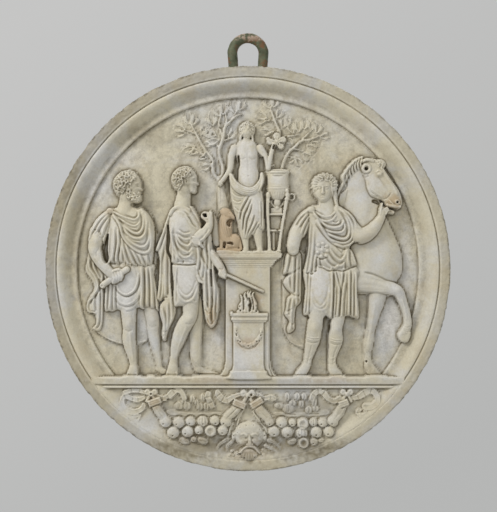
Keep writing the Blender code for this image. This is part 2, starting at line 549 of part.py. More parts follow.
def carving_body(group, parent):
    """Closed body of the carving: a grid raised to the carved heights, rooted in the disc."""
    c = carved_heights()
    count = len(c.axis)
    bm = bmesh.new()
    bmesh.ops.create_grid(bm, x_segments=count - 1, y_segments=count - 1, size=c.half * UNIT)
    bare = []
    for vert in bm.verts:
        column = int(round((vert.co.x / UNIT + c.half) / c.step))
        row = int(round((vert.co.y / UNIT + c.half) / c.step))
        low, high = max(row - 1, 0), row + 2
        if c.height[low:high, max(column - 1, 0):column + 2].max() <= -c.root:
            bare.append(vert)
        vert.co = (vert.co.x, -c.height[row, column] * RISE_UNIT, vert.co.y)
    bmesh.ops.delete(bm, geom=bare, context="VERTS")
    loose = [vert for vert in bm.verts if not vert.link_faces]
    bmesh.ops.delete(bm, geom=loose, context="VERTS")
    bmesh.ops.recalc_face_normals(bm, faces=bm.faces)
    pushed = bmesh.ops.extrude_face_region(bm, geom=list(bm.faces), use_keep_orig=True)
    root = [item for item in pushed["geom"] if isinstance(item, bmesh.types.BMVert)]
    for vert in root:
        vert.co.y = 2 * CARVING_ROOT
    bmesh.ops.recalc_face_normals(bm, faces=bm.faces)
    mesh = bpy.data.meshes.new("carving")
    bm.to_mesh(mesh)
    bm.free()
    body = cutter(new_object("carving", mesh, group, parent))
    thin = body.modifiers.new("thin", "DECIMATE")
    thin.ratio = CARVING_SHARE
    return body


def bow_path(extra):
    """Middle line of the hanging bow, from one foot over the top to the other; extra lengthens the feet."""
    top = BOW_RISE + ROUNDEL_RADIUS
    arc = [math.radians(-12 + 204 * k / 24) for k in range(25)]
    over = [(BOW_RADIUS * math.cos(a), top + BOW_RADIUS * math.sin(a)) for a in arc]
    face = math.sqrt(ROUNDEL_RADIUS ** 2 - BOW_FOOT_HALF_WIDTH ** 2)
    legs = [(BOW_FOOT_HALF_WIDTH, face - BOW_LEG_DEPTH - extra), (BOW_FOOT_HALF_WIDTH, face + 0.001)]
    return legs + over + [(-x, z) for x, z in reversed(legs)]


def bow_body(name, radius, extra, group, parent, material=None):
    """Round bar bent along the bow's middle line, as a closed mesh."""
    line = bpy.data.curves.new(name + "_line", "CURVE")
    line.dimensions = "3D"
    line.bevel_depth = radius
    line.bevel_resolution = 3
    line.use_fill_caps = True
    path = bow_path(extra)
    spline = line.splines.new("POLY")
    spline.points.add(len(path) - 1)
    for point, (x, z) in zip(spline.points, path):
        point.co = (x, 0, z, 1)
    bar = bpy.data.objects.new(name + "_line", line)
    group.objects.link(bar)
    bpy.context.view_layer.update()
    mesh = bpy.data.meshes.new_from_object(bar.evaluated_get(bpy.context.evaluated_depsgraph_get()))
    bpy.data.objects.remove(bar)
    bpy.data.curves.remove(line)
    bm = bmesh.new()
    bm.from_mesh(mesh)
    bmesh.ops.remove_doubles(bm, verts=bm.verts, dist=0.00005)
    bmesh.ops.recalc_face_normals(bm, faces=bm.faces)
    bm.to_mesh(mesh)
    bm.free()
    mesh.name = name
    mesh.materials.clear()
    return new_object(name, mesh, group, parent, material)


for old in list(bpy.data.objects):
    bpy.data.objects.remove(old)

parts = new_collection("relief_roundel")
tools = new_collection("cutters")

centre = bpy.data.objects.new("roundel_centre", None)
parts.objects.link(centre)
centre.location = (0, 0, ROUNDEL_CENTRE_Z)

roundel = turned_disc(parts, centre, new_material(*MARBLE))
boolean(roundel, lower_field_cutter(tools, centre), "DIFFERENCE")
boolean(roundel, cutter(bow_body("bow_socket", BOW_BAR_RADIUS + BOW_CLEARANCE, BOW_CLEARANCE, tools,
                                 centre)), "DIFFERENCE")
boolean(roundel, carving_body(tools, centre), "UNION")

bow = bow_body("hanging_ring", BOW_BAR_RADIUS, 0, parts, centre, new_material(*IRON))
bow.data.shade_smooth()
bow.data.set_sharp_from_angle(angle=math.radians(50))
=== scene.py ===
"""Looks of the marble relief roundel: the carved scene, its turned frame and the iron ring it hangs on."""
import math

import bmesh
import bpy
import numpy as np
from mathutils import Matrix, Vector


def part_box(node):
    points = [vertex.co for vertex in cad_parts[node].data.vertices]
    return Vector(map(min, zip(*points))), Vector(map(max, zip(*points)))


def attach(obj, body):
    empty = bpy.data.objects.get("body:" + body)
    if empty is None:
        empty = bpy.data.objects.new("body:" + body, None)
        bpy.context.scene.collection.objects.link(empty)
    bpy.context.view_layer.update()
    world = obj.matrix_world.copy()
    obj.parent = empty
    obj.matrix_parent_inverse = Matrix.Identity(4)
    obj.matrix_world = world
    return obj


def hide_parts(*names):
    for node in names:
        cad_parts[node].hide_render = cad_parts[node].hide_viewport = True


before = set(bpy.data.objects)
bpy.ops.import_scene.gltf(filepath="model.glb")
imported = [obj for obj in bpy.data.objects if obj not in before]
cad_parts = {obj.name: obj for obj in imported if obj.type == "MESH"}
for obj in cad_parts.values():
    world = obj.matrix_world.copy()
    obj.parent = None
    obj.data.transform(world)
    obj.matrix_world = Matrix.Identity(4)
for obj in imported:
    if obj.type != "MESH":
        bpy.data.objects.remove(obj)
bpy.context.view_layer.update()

# Field of the roundel
# The sunk ground of the block of marble, rubbed nearly flat with a faint waviness and veins in it.
# Everything carved below stands on it, so the carver's tools and the marble finish start here.
MM = 0.001
marble_low, marble_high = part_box("marble_roundel")
outer_radius = (marble_high[0] - marble_low[0]) / 2 / MM
centre_z = (marble_high[2] + marble_low[2]) / 2 / MM
back_y = marble_high[1] / MM
rim_height = outer_radius / 15
rise_unit = 31.0 / 38
field_radius = outer_radius - 47
rim_inner = outer_radius - 16.5
ledge_level = -166.0
lower_depth = 10
curve_start = 19.5
curve_width = 19
curve_rise = 9
root_depth = 3.2
lattice_step = 0.65
lattice_axis = np.arange(-outer_radius, outer_radius + lattice_step, lattice_step)


def lower_level(away):
    """Height of the lower field over the main one, at a distance from the disc's middle."""
    t = np.clip((away - rim_inner + curve_start) / curve_width, 0, 1)
    return rim_height - lower_depth + curve_rise * t * t * (3 - 2 * t)


def smooth_run(points, fine=6):
    """Smooth run through the points; every column of them is carried along."""
    p = np.array(points, dtype=float)
    if len(p) < 3:
        return p
    q = np.vstack([2 * p[0] - p[1], p, 2 * p[-1] - p[-2]])
    t = (np.arange(fine) / fine)[:, None]
    run = []
    for a, b, c, d in zip(q, q[1:], q[2:], q[3:]):
        bend = (c - a) * t + (2 * a - 5 * b + 4 * c - d) * t ** 2 + (3 * b - a - 3 * c + d) * t ** 3
        run.append(b + bend / 2)
    return np.vstack(run + [p[-1:]])


def closed_run(points, fine=4):
    """Smooth closed outline through the points."""
    p = list(points)
    return smooth_run(p[-1:] + p + p[:2], fine)[fine:-fine - 1]


def nearest(a, b, x, z):
    """Share of the way from a to b that lies nearest, and the distance to it."""
    dx, dz = b[0] - a[0], b[1] - a[1]
    t = np.clip(((x - a[0]) * dx + (z - a[1]) * dz) / (dx * dx + dz * dz + 1e-09), 0, 1)
    return t, np.hypot(x - a[0] - t * dx, z - a[1] - t * dz)


class Carving:
    """Heights over the field of one carved piece, in millimetres, cut on the shared lattice."""

    axis = lattice_axis
    count = len(lattice_axis)
    step = lattice_step

    def __init__(self):
        self.height = np.full((self.count, self.count), -root_depth)
        self.floor = -root_depth

    def window(self, path, pad):
        """Part of the lattice round a path."""
        low = np.floor((path[:, :2].min(0) - pad - self.axis[0]) / self.step).astype(int)
        high = np.ceil((path[:, :2].max(0) + pad - self.axis[0]) / self.step).astype(int) + 1
        low = np.clip(low, 0, self.count)
        high = np.clip(high, 0, self.count)
        cut = (slice(low[1], high[1]), slice(low[0], high[0]))
        x, z = np.meshgrid(self.axis[cut[1]], self.axis[cut[0]])
        return cut, x, z

    def lift(self, ground, share):
        """Set the forms on a raised ground, with a share of their height."""
        self.height = ground + share * self.height
        self.floor = ground - share * root_depth

    def blank(self):
        """Mask with nothing in it yet."""
        return np.zeros(self.height.shape, dtype=bool)

    def raise_to(self, cut, height, inside, soft):
        """Join a form to what is carved, with a soft inner corner; returns where it lies."""
        old = self.height[cut]
        new = np.maximum(old, height)
        if soft > 0:
            new = new + np.clip(soft - abs(old - height), 0, None) ** 2 / (4 * soft)
        self.height[cut] = np.where(inside, new, old)
        where = self.blank()
        where[cut] = inside
        return where

    def limb(self, points, flat=1.0, soft=1.5, fine=10):
        """Round form through points of x, z, radius and depth of its middle."""
        path = smooth_run(points, fine)
        cut, x, z = self.window(path, path[:, 2].max())
        height = np.full(x.shape, -99.0)
        for a, b in zip(path, path[1:]):
            t, away = nearest(a, b, x, z)
            rest = (a[2] + t * (b[2] - a[2])) ** 2 - away ** 2
            front = a[3] + t * (b[3] - a[3]) + flat * np.sqrt(np.clip(rest, 0, None))
            height = np.where(rest > 0, np.maximum(height, front), height)
        return self.raise_to(cut, height, height > -98, soft)

    def ball(self, x, z, across, up, deep, middle, turn=0.0, soft=1.5):
        """Front of an egg with its own three half sizes, leaning by turn degrees."""
        cut, gx, gz = self.window(np.array([[x, z]]), max(across, up))
        c, s = math.cos(math.radians(turn)), math.sin(math.radians(turn))
        u = (c * (gx - x) + s * (gz - z)) / across
        v = (c * (gz - z) - s * (gx - x)) / up
        rest = 1 - u * u - v * v
        return self.raise_to(cut, middle + deep * np.sqrt(np.clip(rest, 0, None)), rest > 0, soft)

    def mass(self, outline, wall, rise, edge, smooth=True):
        """Form inside an outline: an upright wall, then a rounded shoulder as wide as edge."""
        path = closed_run(outline) if smooth else np.array(outline, dtype=float)
        cut, x, z = self.window(path, 0)
        inside = np.zeros(x.shape, dtype=bool)
        near = np.full(x.shape, 999.0)
        for a, b in zip(path, np.roll(path, -1, axis=0)):
            near = np.minimum(near, nearest(a, b, x, z)[1])
            if b[1] != a[1]:
                level = (z >= a[1]) != (z >= b[1])
                inside ^= level & (x < a[0] + (z - a[1]) * (b[0] - a[0]) / (b[1] - a[1]))
        t = np.clip(near / edge, 0, 1)
        return self.raise_to(cut, wall + rise * np.sqrt(1 - (1 - t) ** 2), inside, 0)

    def stroke(self, points, pad):
        """Distance from a smooth line, its side, and the share of its length, round the line."""
        path = smooth_run(points)
        cut, x, z = self.window(path, pad)
        near = np.full(x.shape, 999.0)
        share = np.zeros(x.shape)
        side = np.ones(x.shape)
        length = np.concatenate([[0], np.cumsum(np.hypot(*np.diff(path[:, :2], axis=0).T))])
        for k, (a, b) in enumerate(zip(path, path[1:])):
            t, away = nearest(a, b, x, z)
            closer = away < near
            near = np.where(closer, away, near)
            share = np.where(closer, (length[k] + t * (length[k + 1] - length[k])) / length[-1], share)
            turn = (z - a[1]) * (b[0] - a[0]) - (x - a[0]) * (b[1] - a[1])
            side = np.where(closer, np.where(turn < 0, -1.0, 1.0), side)
        return cut, near, side, share

    def fold(self, points, width, rise, over=None, fade=(0.15, 0.15), hollow=0.9):
        """Ridge along the points with a hollow on its right, on one form only."""
        cut, near, side, share = self.stroke(points, 3.6 * width)
        begin = np.clip(share / max(fade[0], 1e-3), 0, 1)
        end = np.clip((1 - share) / max(fade[1], 1e-3), 0, 1)
        away = near * side
        dip = np.exp(-((away - 1.7 * width) / (0.8 * width)) ** 2)
        push = rise * np.sqrt(begin * end) * (np.exp(-(away / width) ** 2) - hollow * dip)
        self.height[cut] += push if over is None else np.where(over[cut], push, 0)

    def groove(self, points, width, depth, over=None, fade=(0.1, 0.1)):
        """Cut line along the points; a negative depth leaves a raised line."""
        self.fold(points, width, -depth, over, fade, hollow=0)

    def swell(self, x, z, across, up, rise, over=None):
        """Soft swelling, or a dip where rise is negative."""
        cut, gx, gz = self.window(np.array([[x, z]]), 2.2 * max(across, up))
        push = rise * np.exp(-((gx - x) / across) ** 2 - ((gz - z) / up) ** 2)
        self.height[cut] += push if over is None else np.where(over[cut], push, 0)

    def drill(self, points, floor, sharp=3.0):
        """Deep gap along points of x, z and radius, down to floor."""
        path = smooth_run(points)
        if len(path) == 1:
            path = np.vstack([path, path + 1e-3])
        cut, x, z = self.window(path, path[:, 2].max() * 1.3)
        deep = np.full(x.shape, 999.0)
        for a, b in zip(path, path[1:]):
            t, away = nearest(a, b, x, z)
            over = away / (a[2] + t * (b[2] - a[2])) - 0.7
            wall = floor + sharp * 30 * np.clip(over, 0, None) ** 2
            deep = np.minimum(deep, np.where(over > 0.6, 999, wall))
        self.height[cut] = np.minimum(self.height[cut], deep)

    def curls(self, x, z, across, up, size, rise, over, turn=0.0, seed=0):
        """Hair of small hooked locks, set on a spiral over an egg-shaped patch."""
        count = int(across * up / (size * size) * 1.9)
        c, s = math.cos(math.radians(turn)), math.sin(math.radians(turn))
        for k in range(count):
            far = math.sqrt((k + 0.5) / count)
            a = 2.39996 * k + seed
            u, v = far * across * math.cos(a), far * up * math.sin(a)
            cx, cz = x + c * u - s * v, z + s * u + c * v
            near = size * (0.52 + 0.1 * math.sin(5.3 * k + seed))
            hook = 1.9 * k + seed
            spin = 1 if k % 2 else -1
            self.swell(cx, cz, near * 1.15, near * 1.15, 0.9 * rise, over)
            lock = [(cx + near * (1 - 0.1 * t) * math.cos(hook + spin * 0.95 * t),
                cz + near * (1 - 0.1 * t) * math.sin(hook + spin * 0.95 * t)) for t in range(6)]
            self.groove(lock, 0.3 * size, -1.2 * rise, over, fade=(0.2, 0.2))
            self.swell(cx, cz, near * 0.42, near * 0.42, -1.7 * rise, over)


def full_cells(points):
    """Cells of a grid whose four corners are all marked."""
    return points[:-1, :-1] & points[1:, :-1] & points[:-1, 1:] & points[1:, 1:]


def grid_piece(name, place, used, cells):
    """Object of the marked points of a grid, with a face on each of the given cells."""
    number = np.cumsum(used.ravel()).reshape(used.shape) - 1
    row, column = np.nonzero(cells)
    corners = [number[row + up, column + across] for up, across in ((0, 0), (0, 1), (1, 1), (1, 0))]
    return mesh_piece(name, place[used], np.stack(corners, axis=1))


def relief_piece(name, carving):
    """Piece for one carving: the cells that stand over the root, with their steep walls evened out."""
    height = carving.height
    stands = height > carving.floor + 0.001
    near = stands.copy()
    near[1:] |= stands[:-1]
    near[:-1] |= stands[1:]
    wide = near.copy()
    wide[:, 1:] |= near[:, :-1]
    wide[:, :-1] |= near[:, 1:]
    cells = full_cells(wide)
    x, z = np.meshgrid(carving.axis, carving.axis)
    place = np.stack([x, -height * rise_unit, z], axis=-1)
    high = height.copy()
    low = height.copy()
    for axis in (0, 1):
        high = np.maximum.reduce([high, np.roll(high, 1, axis), np.roll(high, -1, axis)])
        low = np.minimum.reduce([low, np.roll(low, 1, axis), np.roll(low, -1, axis)])
    steep = np.clip((high - low) / (5 * lattice_step) - 0.25, 0, 0.6)[..., None]
    steep[~stands] = 0
    for _ in range(3):
        around = sum((np.roll(place, shift, axis) for shift in (1, -1) for axis in (0, 1))) / 4
        place = place + steep * (around - place)
    used = np.zeros(height.shape, dtype=bool)
    used[:-1, :-1] |= cells
    used[1:, :-1] |= cells
    used[:-1, 1:] |= cells
    used[1:, 1:] |= cells
    return grid_piece(name, place, used, cells)


def mesh_piece(name, places, corners):
    """Smooth-shaded object from points in mm about the roundel's centre and four-sided faces."""
    mesh = bpy.data.meshes.new(name)
    mesh.vertices.add(len(places))
    mesh.vertices.foreach_set("co", ((places + (0, 0, centre_z)) * MM).astype(np.float32).ravel())
    mesh.loops.add(corners.size)
    mesh.loops.foreach_set("vertex_index", corners.astype(np.int32).ravel())
    mesh.polygons.add(len(corners))
    mesh.polygons.foreach_set("loop_start", np.arange(0, corners.size, 4, dtype=np.int32))
    mesh.polygons.foreach_set("use_smooth", np.ones(len(corners), dtype=bool))
    mesh.update()
    mesh.validate()
    piece = bpy.data.objects.new(name, mesh)
    bpy.context.scene.collection.objects.link(piece)
    return piece


def waves(x, z, size, seed):
    """Soft uneven values between -1 and 1 over a plane, the same each time, with features about size wide."""
    total = 0
    for k in range(5):
        a = 2.4 * k + seed
        along = (x * math.cos(a) + z * math.sin(a)) * math.tau / (size * (1 + 0.23 * k))
        across = (z * math.cos(a) - x * math.sin(a)) * math.tau / (size * (2.1 + 0.3 * k))
        total = total + np.sin(along + 1.7 * k * seed + 1.3 * np.sin(across + k))
    return total / 3.2


def shade_node(tree, kind, **settings):
    """Shader node with some of its sockets and settings given."""
    node = tree.nodes.new(kind)
    for key, value in settings.items():
        if key in node.inputs:
            node.inputs[key].default_value = value
        else:
            setattr(node, key, value)
    return node


def mixed(tree, kind, share, first, second):
    """Colour mix of two colours or links; share is a number or a link."""
    node = tree.nodes.new("ShaderNodeMix")
    node.data_type = "RGBA"
    node.blend_type = kind
    for socket, value in ((node.inputs[0], share), (node.inputs[6], first), (node.inputs[7], second)):
        if isinstance(value, bpy.types.NodeSocket):
            tree.links.new(value, socket)
        else:
            socket.default_value = value
    return node.outputs[2]


def spread(tree, value, low, high, top=1.0):
    """Value stretched so that low becomes 0 and high becomes top, held between them."""
    node = shade_node(tree, "ShaderNodeMapRange")
    node.inputs[1].default_value = low
    node.inputs[2].default_value = high
    node.inputs[4].default_value = top
    tree.links.new(value, node.inputs[0])
    return node.outputs[0]


def noise(tree, where, scale, detail=4.0, rough=0.55, bend=0.0):
    """Noise value at the object's own coordinates."""
    node = shade_node(tree, "ShaderNodeTexNoise", Scale=scale, Detail=detail, Roughness=rough,
        Distortion=bend)
    tree.links.new(where, node.inputs["Vector"])
    return node.outputs["Fac"]


def marble_finish(name, warm, cool, sandy=0.0):
    """Old marble: warm stone with cooler patches, painted shade mixed with dirt in the recesses, ridges
    rubbed paler under a painted highlight, and pale patches that are partly painted light.
    """
    material = bpy.data.materials.new(name)
    material.use_nodes = True
    tree = material.node_tree
    shader = tree.nodes["Principled BSDF"]
    where = shade_node(tree, "ShaderNodeTexCoord").outputs["Object"]
    recess, crest, stained, pale_and_lit, rim = [
        shade_node(tree, "ShaderNodeAttribute", attribute_name=kind).outputs["Fac"]
        for kind in ("recess", "crest", "stained", "pale_and_lit", "rim")]
    patches = spread(tree, noise(tree, where, 9.0, 6.0, 0.65, 0.6), 0.44, 0.62)
    colour = mixed(tree, "MIX", patches, warm, cool)
    ochre = spread(tree, noise(tree, where, 21.0, 6.0, 0.7), 0.5, 0.7, 0.5)
    colour = mixed(tree, "MIX", ochre, colour, (0.57, 0.475, 0.3, 1))
    # Pale spots: partly paler washed stone, partly painted light on the field, the lip and the most raised
    # fronts.
    colour = mixed(tree, "MIX", pale_and_lit, colour, (0.745, 0.73, 0.7, 1))
    veins = spread(tree, noise(tree, where, 11.0, 8.0, 0.7, 2.2), 0.485, 0.5, 0.16)
    colour = mixed(tree, "MULTIPLY", veins, colour, (0.72, 0.7, 0.68, 1))
    grain = spread(tree, noise(tree, where, 330.0, 4.0, 0.75), 0.42, 0.62, 0.26)
    colour = mixed(tree, "MULTIPLY", grain, colour, (0.62, 0.6, 0.55, 1))
    colour = mixed(tree, "MIX", stained, colour, (0.44, 0.31, 0.16, 1))
    # Painted shade mixed with dirt in the recesses, in two dark tones that vary over the stone.
    dark_mottle = spread(tree, noise(tree, where, 60.0, 6.0, 0.7), 0.3, 0.7)
    shade_and_dirt_colour = mixed(tree, "MIX", dark_mottle, (0.125, 0.1, 0.055, 1), (0.29, 0.25, 0.165, 1))
    colour = mixed(tree, "MIX", recess, colour, shade_and_dirt_colour)
    # Ridges rubbed pale, with a painted highlight laid on them.
    colour = mixed(tree, "MIX", spread(tree, crest, 0.0, 1.0, 0.45), colour, (0.84, 0.8, 0.7, 1))
    specks = spread(tree, noise(tree, where, 85.0, 5.0, 0.8), 0.46, 0.6)
    dark = shade_node(tree, "ShaderNodeMath", operation="MULTIPLY")
    tree.links.new(specks, dark.inputs[0])
    tree.links.new(rim, dark.inputs[1])
    colour = mixed(tree, "MIX", dark.outputs[0], colour, (0.085, 0.07, 0.045, 1))
    if sandy:
        colour = mixed(tree, "MIX", sandy, colour, (0.52, 0.38, 0.235, 1))
    tree.links.new(colour, shader.inputs["Base Color"])
    shader.inputs["Roughness"].default_value = 0.56
    shader.inputs["Specular IOR Level"].default_value = 0.35
    bump = shade_node(tree, "ShaderNodeBump", Strength=0.6, Distance=0.0009)
    tree.links.new(noise(tree, where, 230.0, 7.0, 0.72), bump.inputs["Height"])
    tree.links.new(bump.outputs["Normal"], shader.inputs["Normal"])
    return material


marble = marble_finish("weathered marble", (0.66, 0.615, 0.48, 1), (0.655, 0.655, 0.64, 1))
carved = []
carvings = []


def set_in_marble(piece, finish=marble):
    """Give a piece of the disc its finish and its place in the frame."""
    piece.data.materials.append(finish)
    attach(piece, "root")
    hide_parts("marble_roundel")
    carved.append(piece)
    return piece


field_step = 2.4
field_axis = np.arange(-rim_inner - field_step, rim_inner + 2 * field_step, field_step)
field_x, field_z = np.meshgrid(field_axis, field_axis)
field_away = np.hypot(field_x, field_z)
rippled = 0.28 * waves(field_x, field_z, 70, 0.8) + 0.10 * waves(field_x, field_z, 17, 2.1)


def plate(name, level, inside):
    """Ground at the given heights over the cells whose corners are all inside."""
    return grid_piece(name, np.stack([field_x, -level, field_z], axis=-1), inside, full_cells(inside))


field = plate("field", rippled, (field_away < field_radius + 4) & (field_z > ledge_level))
set_in_marble(field)


# Lower field
# The shallow ground below the ledge, almost as high as the rim and curved up to it, so that it runs
# into the plain border without any moulding.
ledge_foot = -175
under_ledge = -169
sinks = 1.6 * np.clip((field_away - rim_inner + 1) / 1.5, 0, 1)
sinks = sinks + 3 * np.clip((field_z - ledge_foot) / 3, 0, 1)
lower_field = plate("lower_field", lower_level(field_away) + rippled - sinks,
    (field_away < rim_inner + 2) & (field_z < under_ledge))
set_in_marble(lower_field)


# Turned frame, edge and back
# The block's own border: a chipped flat rim, a groove, a round moulding, a dark hollow and a slope
# down to the field, then the rough-picked edge and back; the mouldings stop at the ledge.
frame_angles = 800
full_profile = ((249.5, -2.5), (252.2, -1), (253.3, 0.4), (254.1, 3.4), (255.1, 5.2), (256.4, 5.6),
    (258.5, 5.6), (261, 5.6), (263, 6.4), (265.5, 8.2), (268, 10.6), (270.5, 13.2), (272.8, 15.4),
    (275, 17), (277.5, 18.1), (279.8, 18.6), (281.3, 18.3), (282.1, 16.9), (282.7, 16.3), (283.3, 17.2),
    (284, 18.9), (286, 19.5), (290, 19.9), (294, 20), (297.4, 19.7))
low_profile = ((249.5, -2.5), (278, 4), (281.4, 12), (282.4, 17.6), (283.6, 18.8), (284.6, 19.3),
    (286, 19.5), (290, 19.9), (294, 20), (297.4, 19.7))
rings = np.concatenate([np.linspace(249.5, 257, 13), np.linspace(258, 280, 19),
    np.linspace(280.8, 285.2, 10), np.linspace(286.4, 297.4, 9)])
angle = np.arange(frame_angles) / frame_angles * math.tau
ring_r, ring_a = np.meshgrid(rings, angle, indexing="ij")
ring_x, ring_z = ring_r * np.cos(ring_a), ring_r * np.sin(ring_a)
full = np.interp(ring_r, *np.array(full_profile).T)
plain = np.interp(ring_r, *np.array(low_profile).T)
share = np.clip((ring_z - ledge_level + 1) / 3, 0, 1)
front = plain + share * (full - plain)
wear = 0.28 * waves(ring_x, ring_z, 31, 1.3) + 0.20 * waves(ring_x, ring_z, 9, 0.4)
chisel = 0.35 * waves(ring_x, ring_z, 5.2, 2.7)
front = front + np.where(front > 1, wear + chisel * np.clip((ring_r - 283) / 3, 0, 1), 0)
along_edge = angle * outer_radius
chips = np.clip(waves(along_edge, 0, 46, 1.9) - 0.35, 0, 1) * 2.2
chips = chips + np.clip(waves(along_edge, 0, 13, 0.7) - 0.3, 0, 1) * 1.5
chips = chips + 0.35 * (1 + waves(along_edge, 0, 5, 3.3))
rounded = ((298.6, 19, 0.55), (299.5, 17.7, 0.9), (300, 15.8, 1), (300, 12, 0.7), (300, 4, 0.45),
    (300, -6, 0.4), (300, -17, 0.4), (300, -27, 0.5), (299.6, -31.8, 0.8), (298.2, -33.6, 0.9),
    (295, -34, 0.6), (270, -34, 0), (235, -34, 0), (190, -34, 0), (140, -34, 0), (90, -34, 0), (45, -34, 0),
    (12, -34, 0))
layers_r = [ring_r]
layers_h = [front]
for r, h, bite in rounded:
    rough_side = 0.5 * waves(along_edge, 3.0 * h, 11, 2.2) * (0.3 < bite < 0.8)
    layers_r.append([r - bite * chips - (0.6 + rough_side) * (r > 290)])
    flat_x, flat_z = r * np.cos(angle), r * np.sin(angle)
    rough_back = waves(flat_x, flat_z, 24, 1.1) + 0.6 * waves(flat_x, flat_z, 9, 0.2)
    layers_h.append([h - 0.5 * bite * chips * (h > 10) + (0.35 + 0.45 * rough_back) * (h <= -33)])
drawn_radius, drawn_rim, drawn_back = 300, 20, 34
ring_r = np.vstack(layers_r) * outer_radius / drawn_radius
ring_h = np.vstack(layers_h)
ring_h = np.where(ring_h < 0, ring_h * back_y / drawn_back, ring_h * rim_height / drawn_rim)
ring_a = np.broadcast_to(angle, ring_r.shape)
points = np.stack([ring_r * np.cos(ring_a), -ring_h, ring_r * np.sin(ring_a)], axis=-1).reshape(-1, 3)
count = len(ring_r)
here = np.arange(frame_angles)
after = (here + 1) % frame_angles
corners = np.concatenate([np.stack([inner + here, inner + frame_angles + here, inner + frame_angles + after,
    inner + after], axis=1) for inner in range(0, (count - 1) * frame_angles, frame_angles)])
border = mesh_piece("turned_frame", points, corners)
bm = bmesh.new()
bm.from_mesh(border.data)
pole = bm.verts.new((0, back_y * MM, centre_z * MM))
bm.verts.ensure_lookup_table()
last = (count - 1) * frame_angles
for k in range(frame_angles):
    bm.faces.new((bm.verts[last + k], pole, bm.verts[last + (k + 1) % frame_angles])).smooth = True
bm.to_mesh(border.data)
bm.free()
set_in_marble(border)


# Bearded man
# The standing man at the far left, cut from the block in high relief: tunic bloused over a belt, a cloak
# pinned at the shoulder that swings across the chest and falls behind, and a roll held at the hip.
def scaled(x, z, s, *points):
    """Points given as shares of a size s about a middle x, z."""
    return [(x + u * s, z + v * s) for u, v in points]


def side_head(c, x, z, s, middle, hair_seed):
    """Head of the carver's own calm pattern seen from its left, facing right; lengths are shares of s."""
    c.limb([(x - 0.16 * s, z - 0.7 * s, 0.24 * s, middle - 2),
        (x - 0.12 * s, z - 0.42 * s, 0.2 * s, middle - 2), (x - 0.08 * s, z - 0.2 * s, 0.22 * s, middle)])
    c.ball(x - 0.08 * s, z + 0.1 * s, 0.39 * s, 0.36 * s, 0.28 * s, middle)
    profile = ((0.18, 0.32), (0.27, 0.24), (0.302, 0.15), (0.298, 0.1), (0.28, 0.065), (0.318, 0),
        (0.355, -0.055), (0.345, -0.095), (0.292, -0.108), (0.296, -0.14), (0.304, -0.165), (0.286, -0.186),
        (0.298, -0.21), (0.282, -0.24), (0.3, -0.285), (0.275, -0.34), (0.2, -0.37), (0.06, -0.31),
        (-0.06, -0.2), (-0.12, 0.05), (0.02, 0.3))
    face = c.mass(scaled(x, z, s, *profile), middle, 0.21 * s, 0.21 * s)
    c.swell(x + 0.15 * s, z - 0.06 * s, 0.09 * s, 0.1 * s, 0.03 * s, face)
    c.swell(x + 0.235 * s, z + 0.045 * s, 0.05 * s, 0.04 * s, -0.06 * s, face)
    c.ball(x + 0.232 * s, z + 0.042 * s, 0.034 * s, 0.026 * s, 0.03 * s, middle + 0.115 * s, soft=0.3)
    c.groove(scaled(x, z, s, (0.262, 0.055), (0.235, 0.072), (0.19, 0.04)), 0.012 * s, -0.02 * s, face)
    c.groove(scaled(x, z, s, (0.295, 0.11), (0.24, 0.125), (0.16, 0.09)), 0.022 * s, -0.03 * s, face)
    c.ball(x + 0.305 * s, z - 0.085 * s, 0.03 * s, 0.026 * s, 0.03 * s, middle + 0.06 * s, soft=0.5)
    c.swell(x + 0.31 * s, z - 0.1 * s, 0.012 * s, 0.01 * s, -0.03 * s)
    c.groove(scaled(x, z, s, (0.302, -0.187), (0.26, -0.184), (0.22, -0.194)), 0.013 * s, 0.035 * s, face,
        fade=(0.02, 0.4))
    c.groove(scaled(x, z, s, (0.27, -0.09), (0.235, -0.13), (0.21, -0.19)), 0.018 * s, 0.016 * s, face)
    c.ball(x - 0.015 * s, z, 0.05 * s, 0.085 * s, 0.05 * s, middle + 0.23 * s, turn=-12, soft=0.4)
    c.swell(x - 0.005 * s, z - 0.01 * s, 0.02 * s, 0.035 * s, -0.06 * s)
    cap = c.mass(scaled(x, z, s, (0.2, 0.36), (0.26, 0.29), (0.2, 0.22), (0.12, 0.17), (0.06, 0.12),
        (0.05, 0.02), (-0.03, 0.1), (-0.1, 0.06), (-0.1, -0.06), (-0.16, -0.14), (-0.24, -0.27),
        (-0.36, -0.26), (-0.45, -0.12), (-0.5, 0.08), (-0.44, 0.28), (-0.26, 0.45), (-0.04, 0.5),
        (0.12, 0.45)), middle - 4, 0.31 * s, 0.34 * s)
    c.curls(x - 0.12 * s, z + 0.14 * s, 0.43 * s, 0.42 * s, 0.088 * s, 0.05 * s, cap, seed=hair_seed)
    return face


def side_beard(c, x, z, s, middle, seed):
    """Short full beard and moustache in small locks along the jaw."""
    beard = c.mass(scaled(x, z, s, (0, 0), (0.05, -0.1), (0.15, -0.17), (0.25, -0.235), (0.3, -0.22),
        (0.325, -0.32), (0.28, -0.42), (0.16, -0.46), (0.02, -0.4), (-0.08, -0.26), (-0.08, -0.08)),
        middle + 1, 0.2 * s, 0.2 * s)
    c.limb([(x + 0.295 * s, z - 0.15 * s, 0.022 * s, middle + 0.06 * s),
        (x + 0.26 * s, z - 0.155 * s, 0.035 * s, middle + 0.1 * s),
        (x + 0.2 * s, z - 0.21 * s, 0.03 * s, middle + 0.14 * s)], soft=0.4)
    c.curls(x + 0.13 * s, z - 0.27 * s, 0.29 * s, 0.22 * s, 0.08 * s, 0.05 * s, beard, turn=-28, seed=seed)


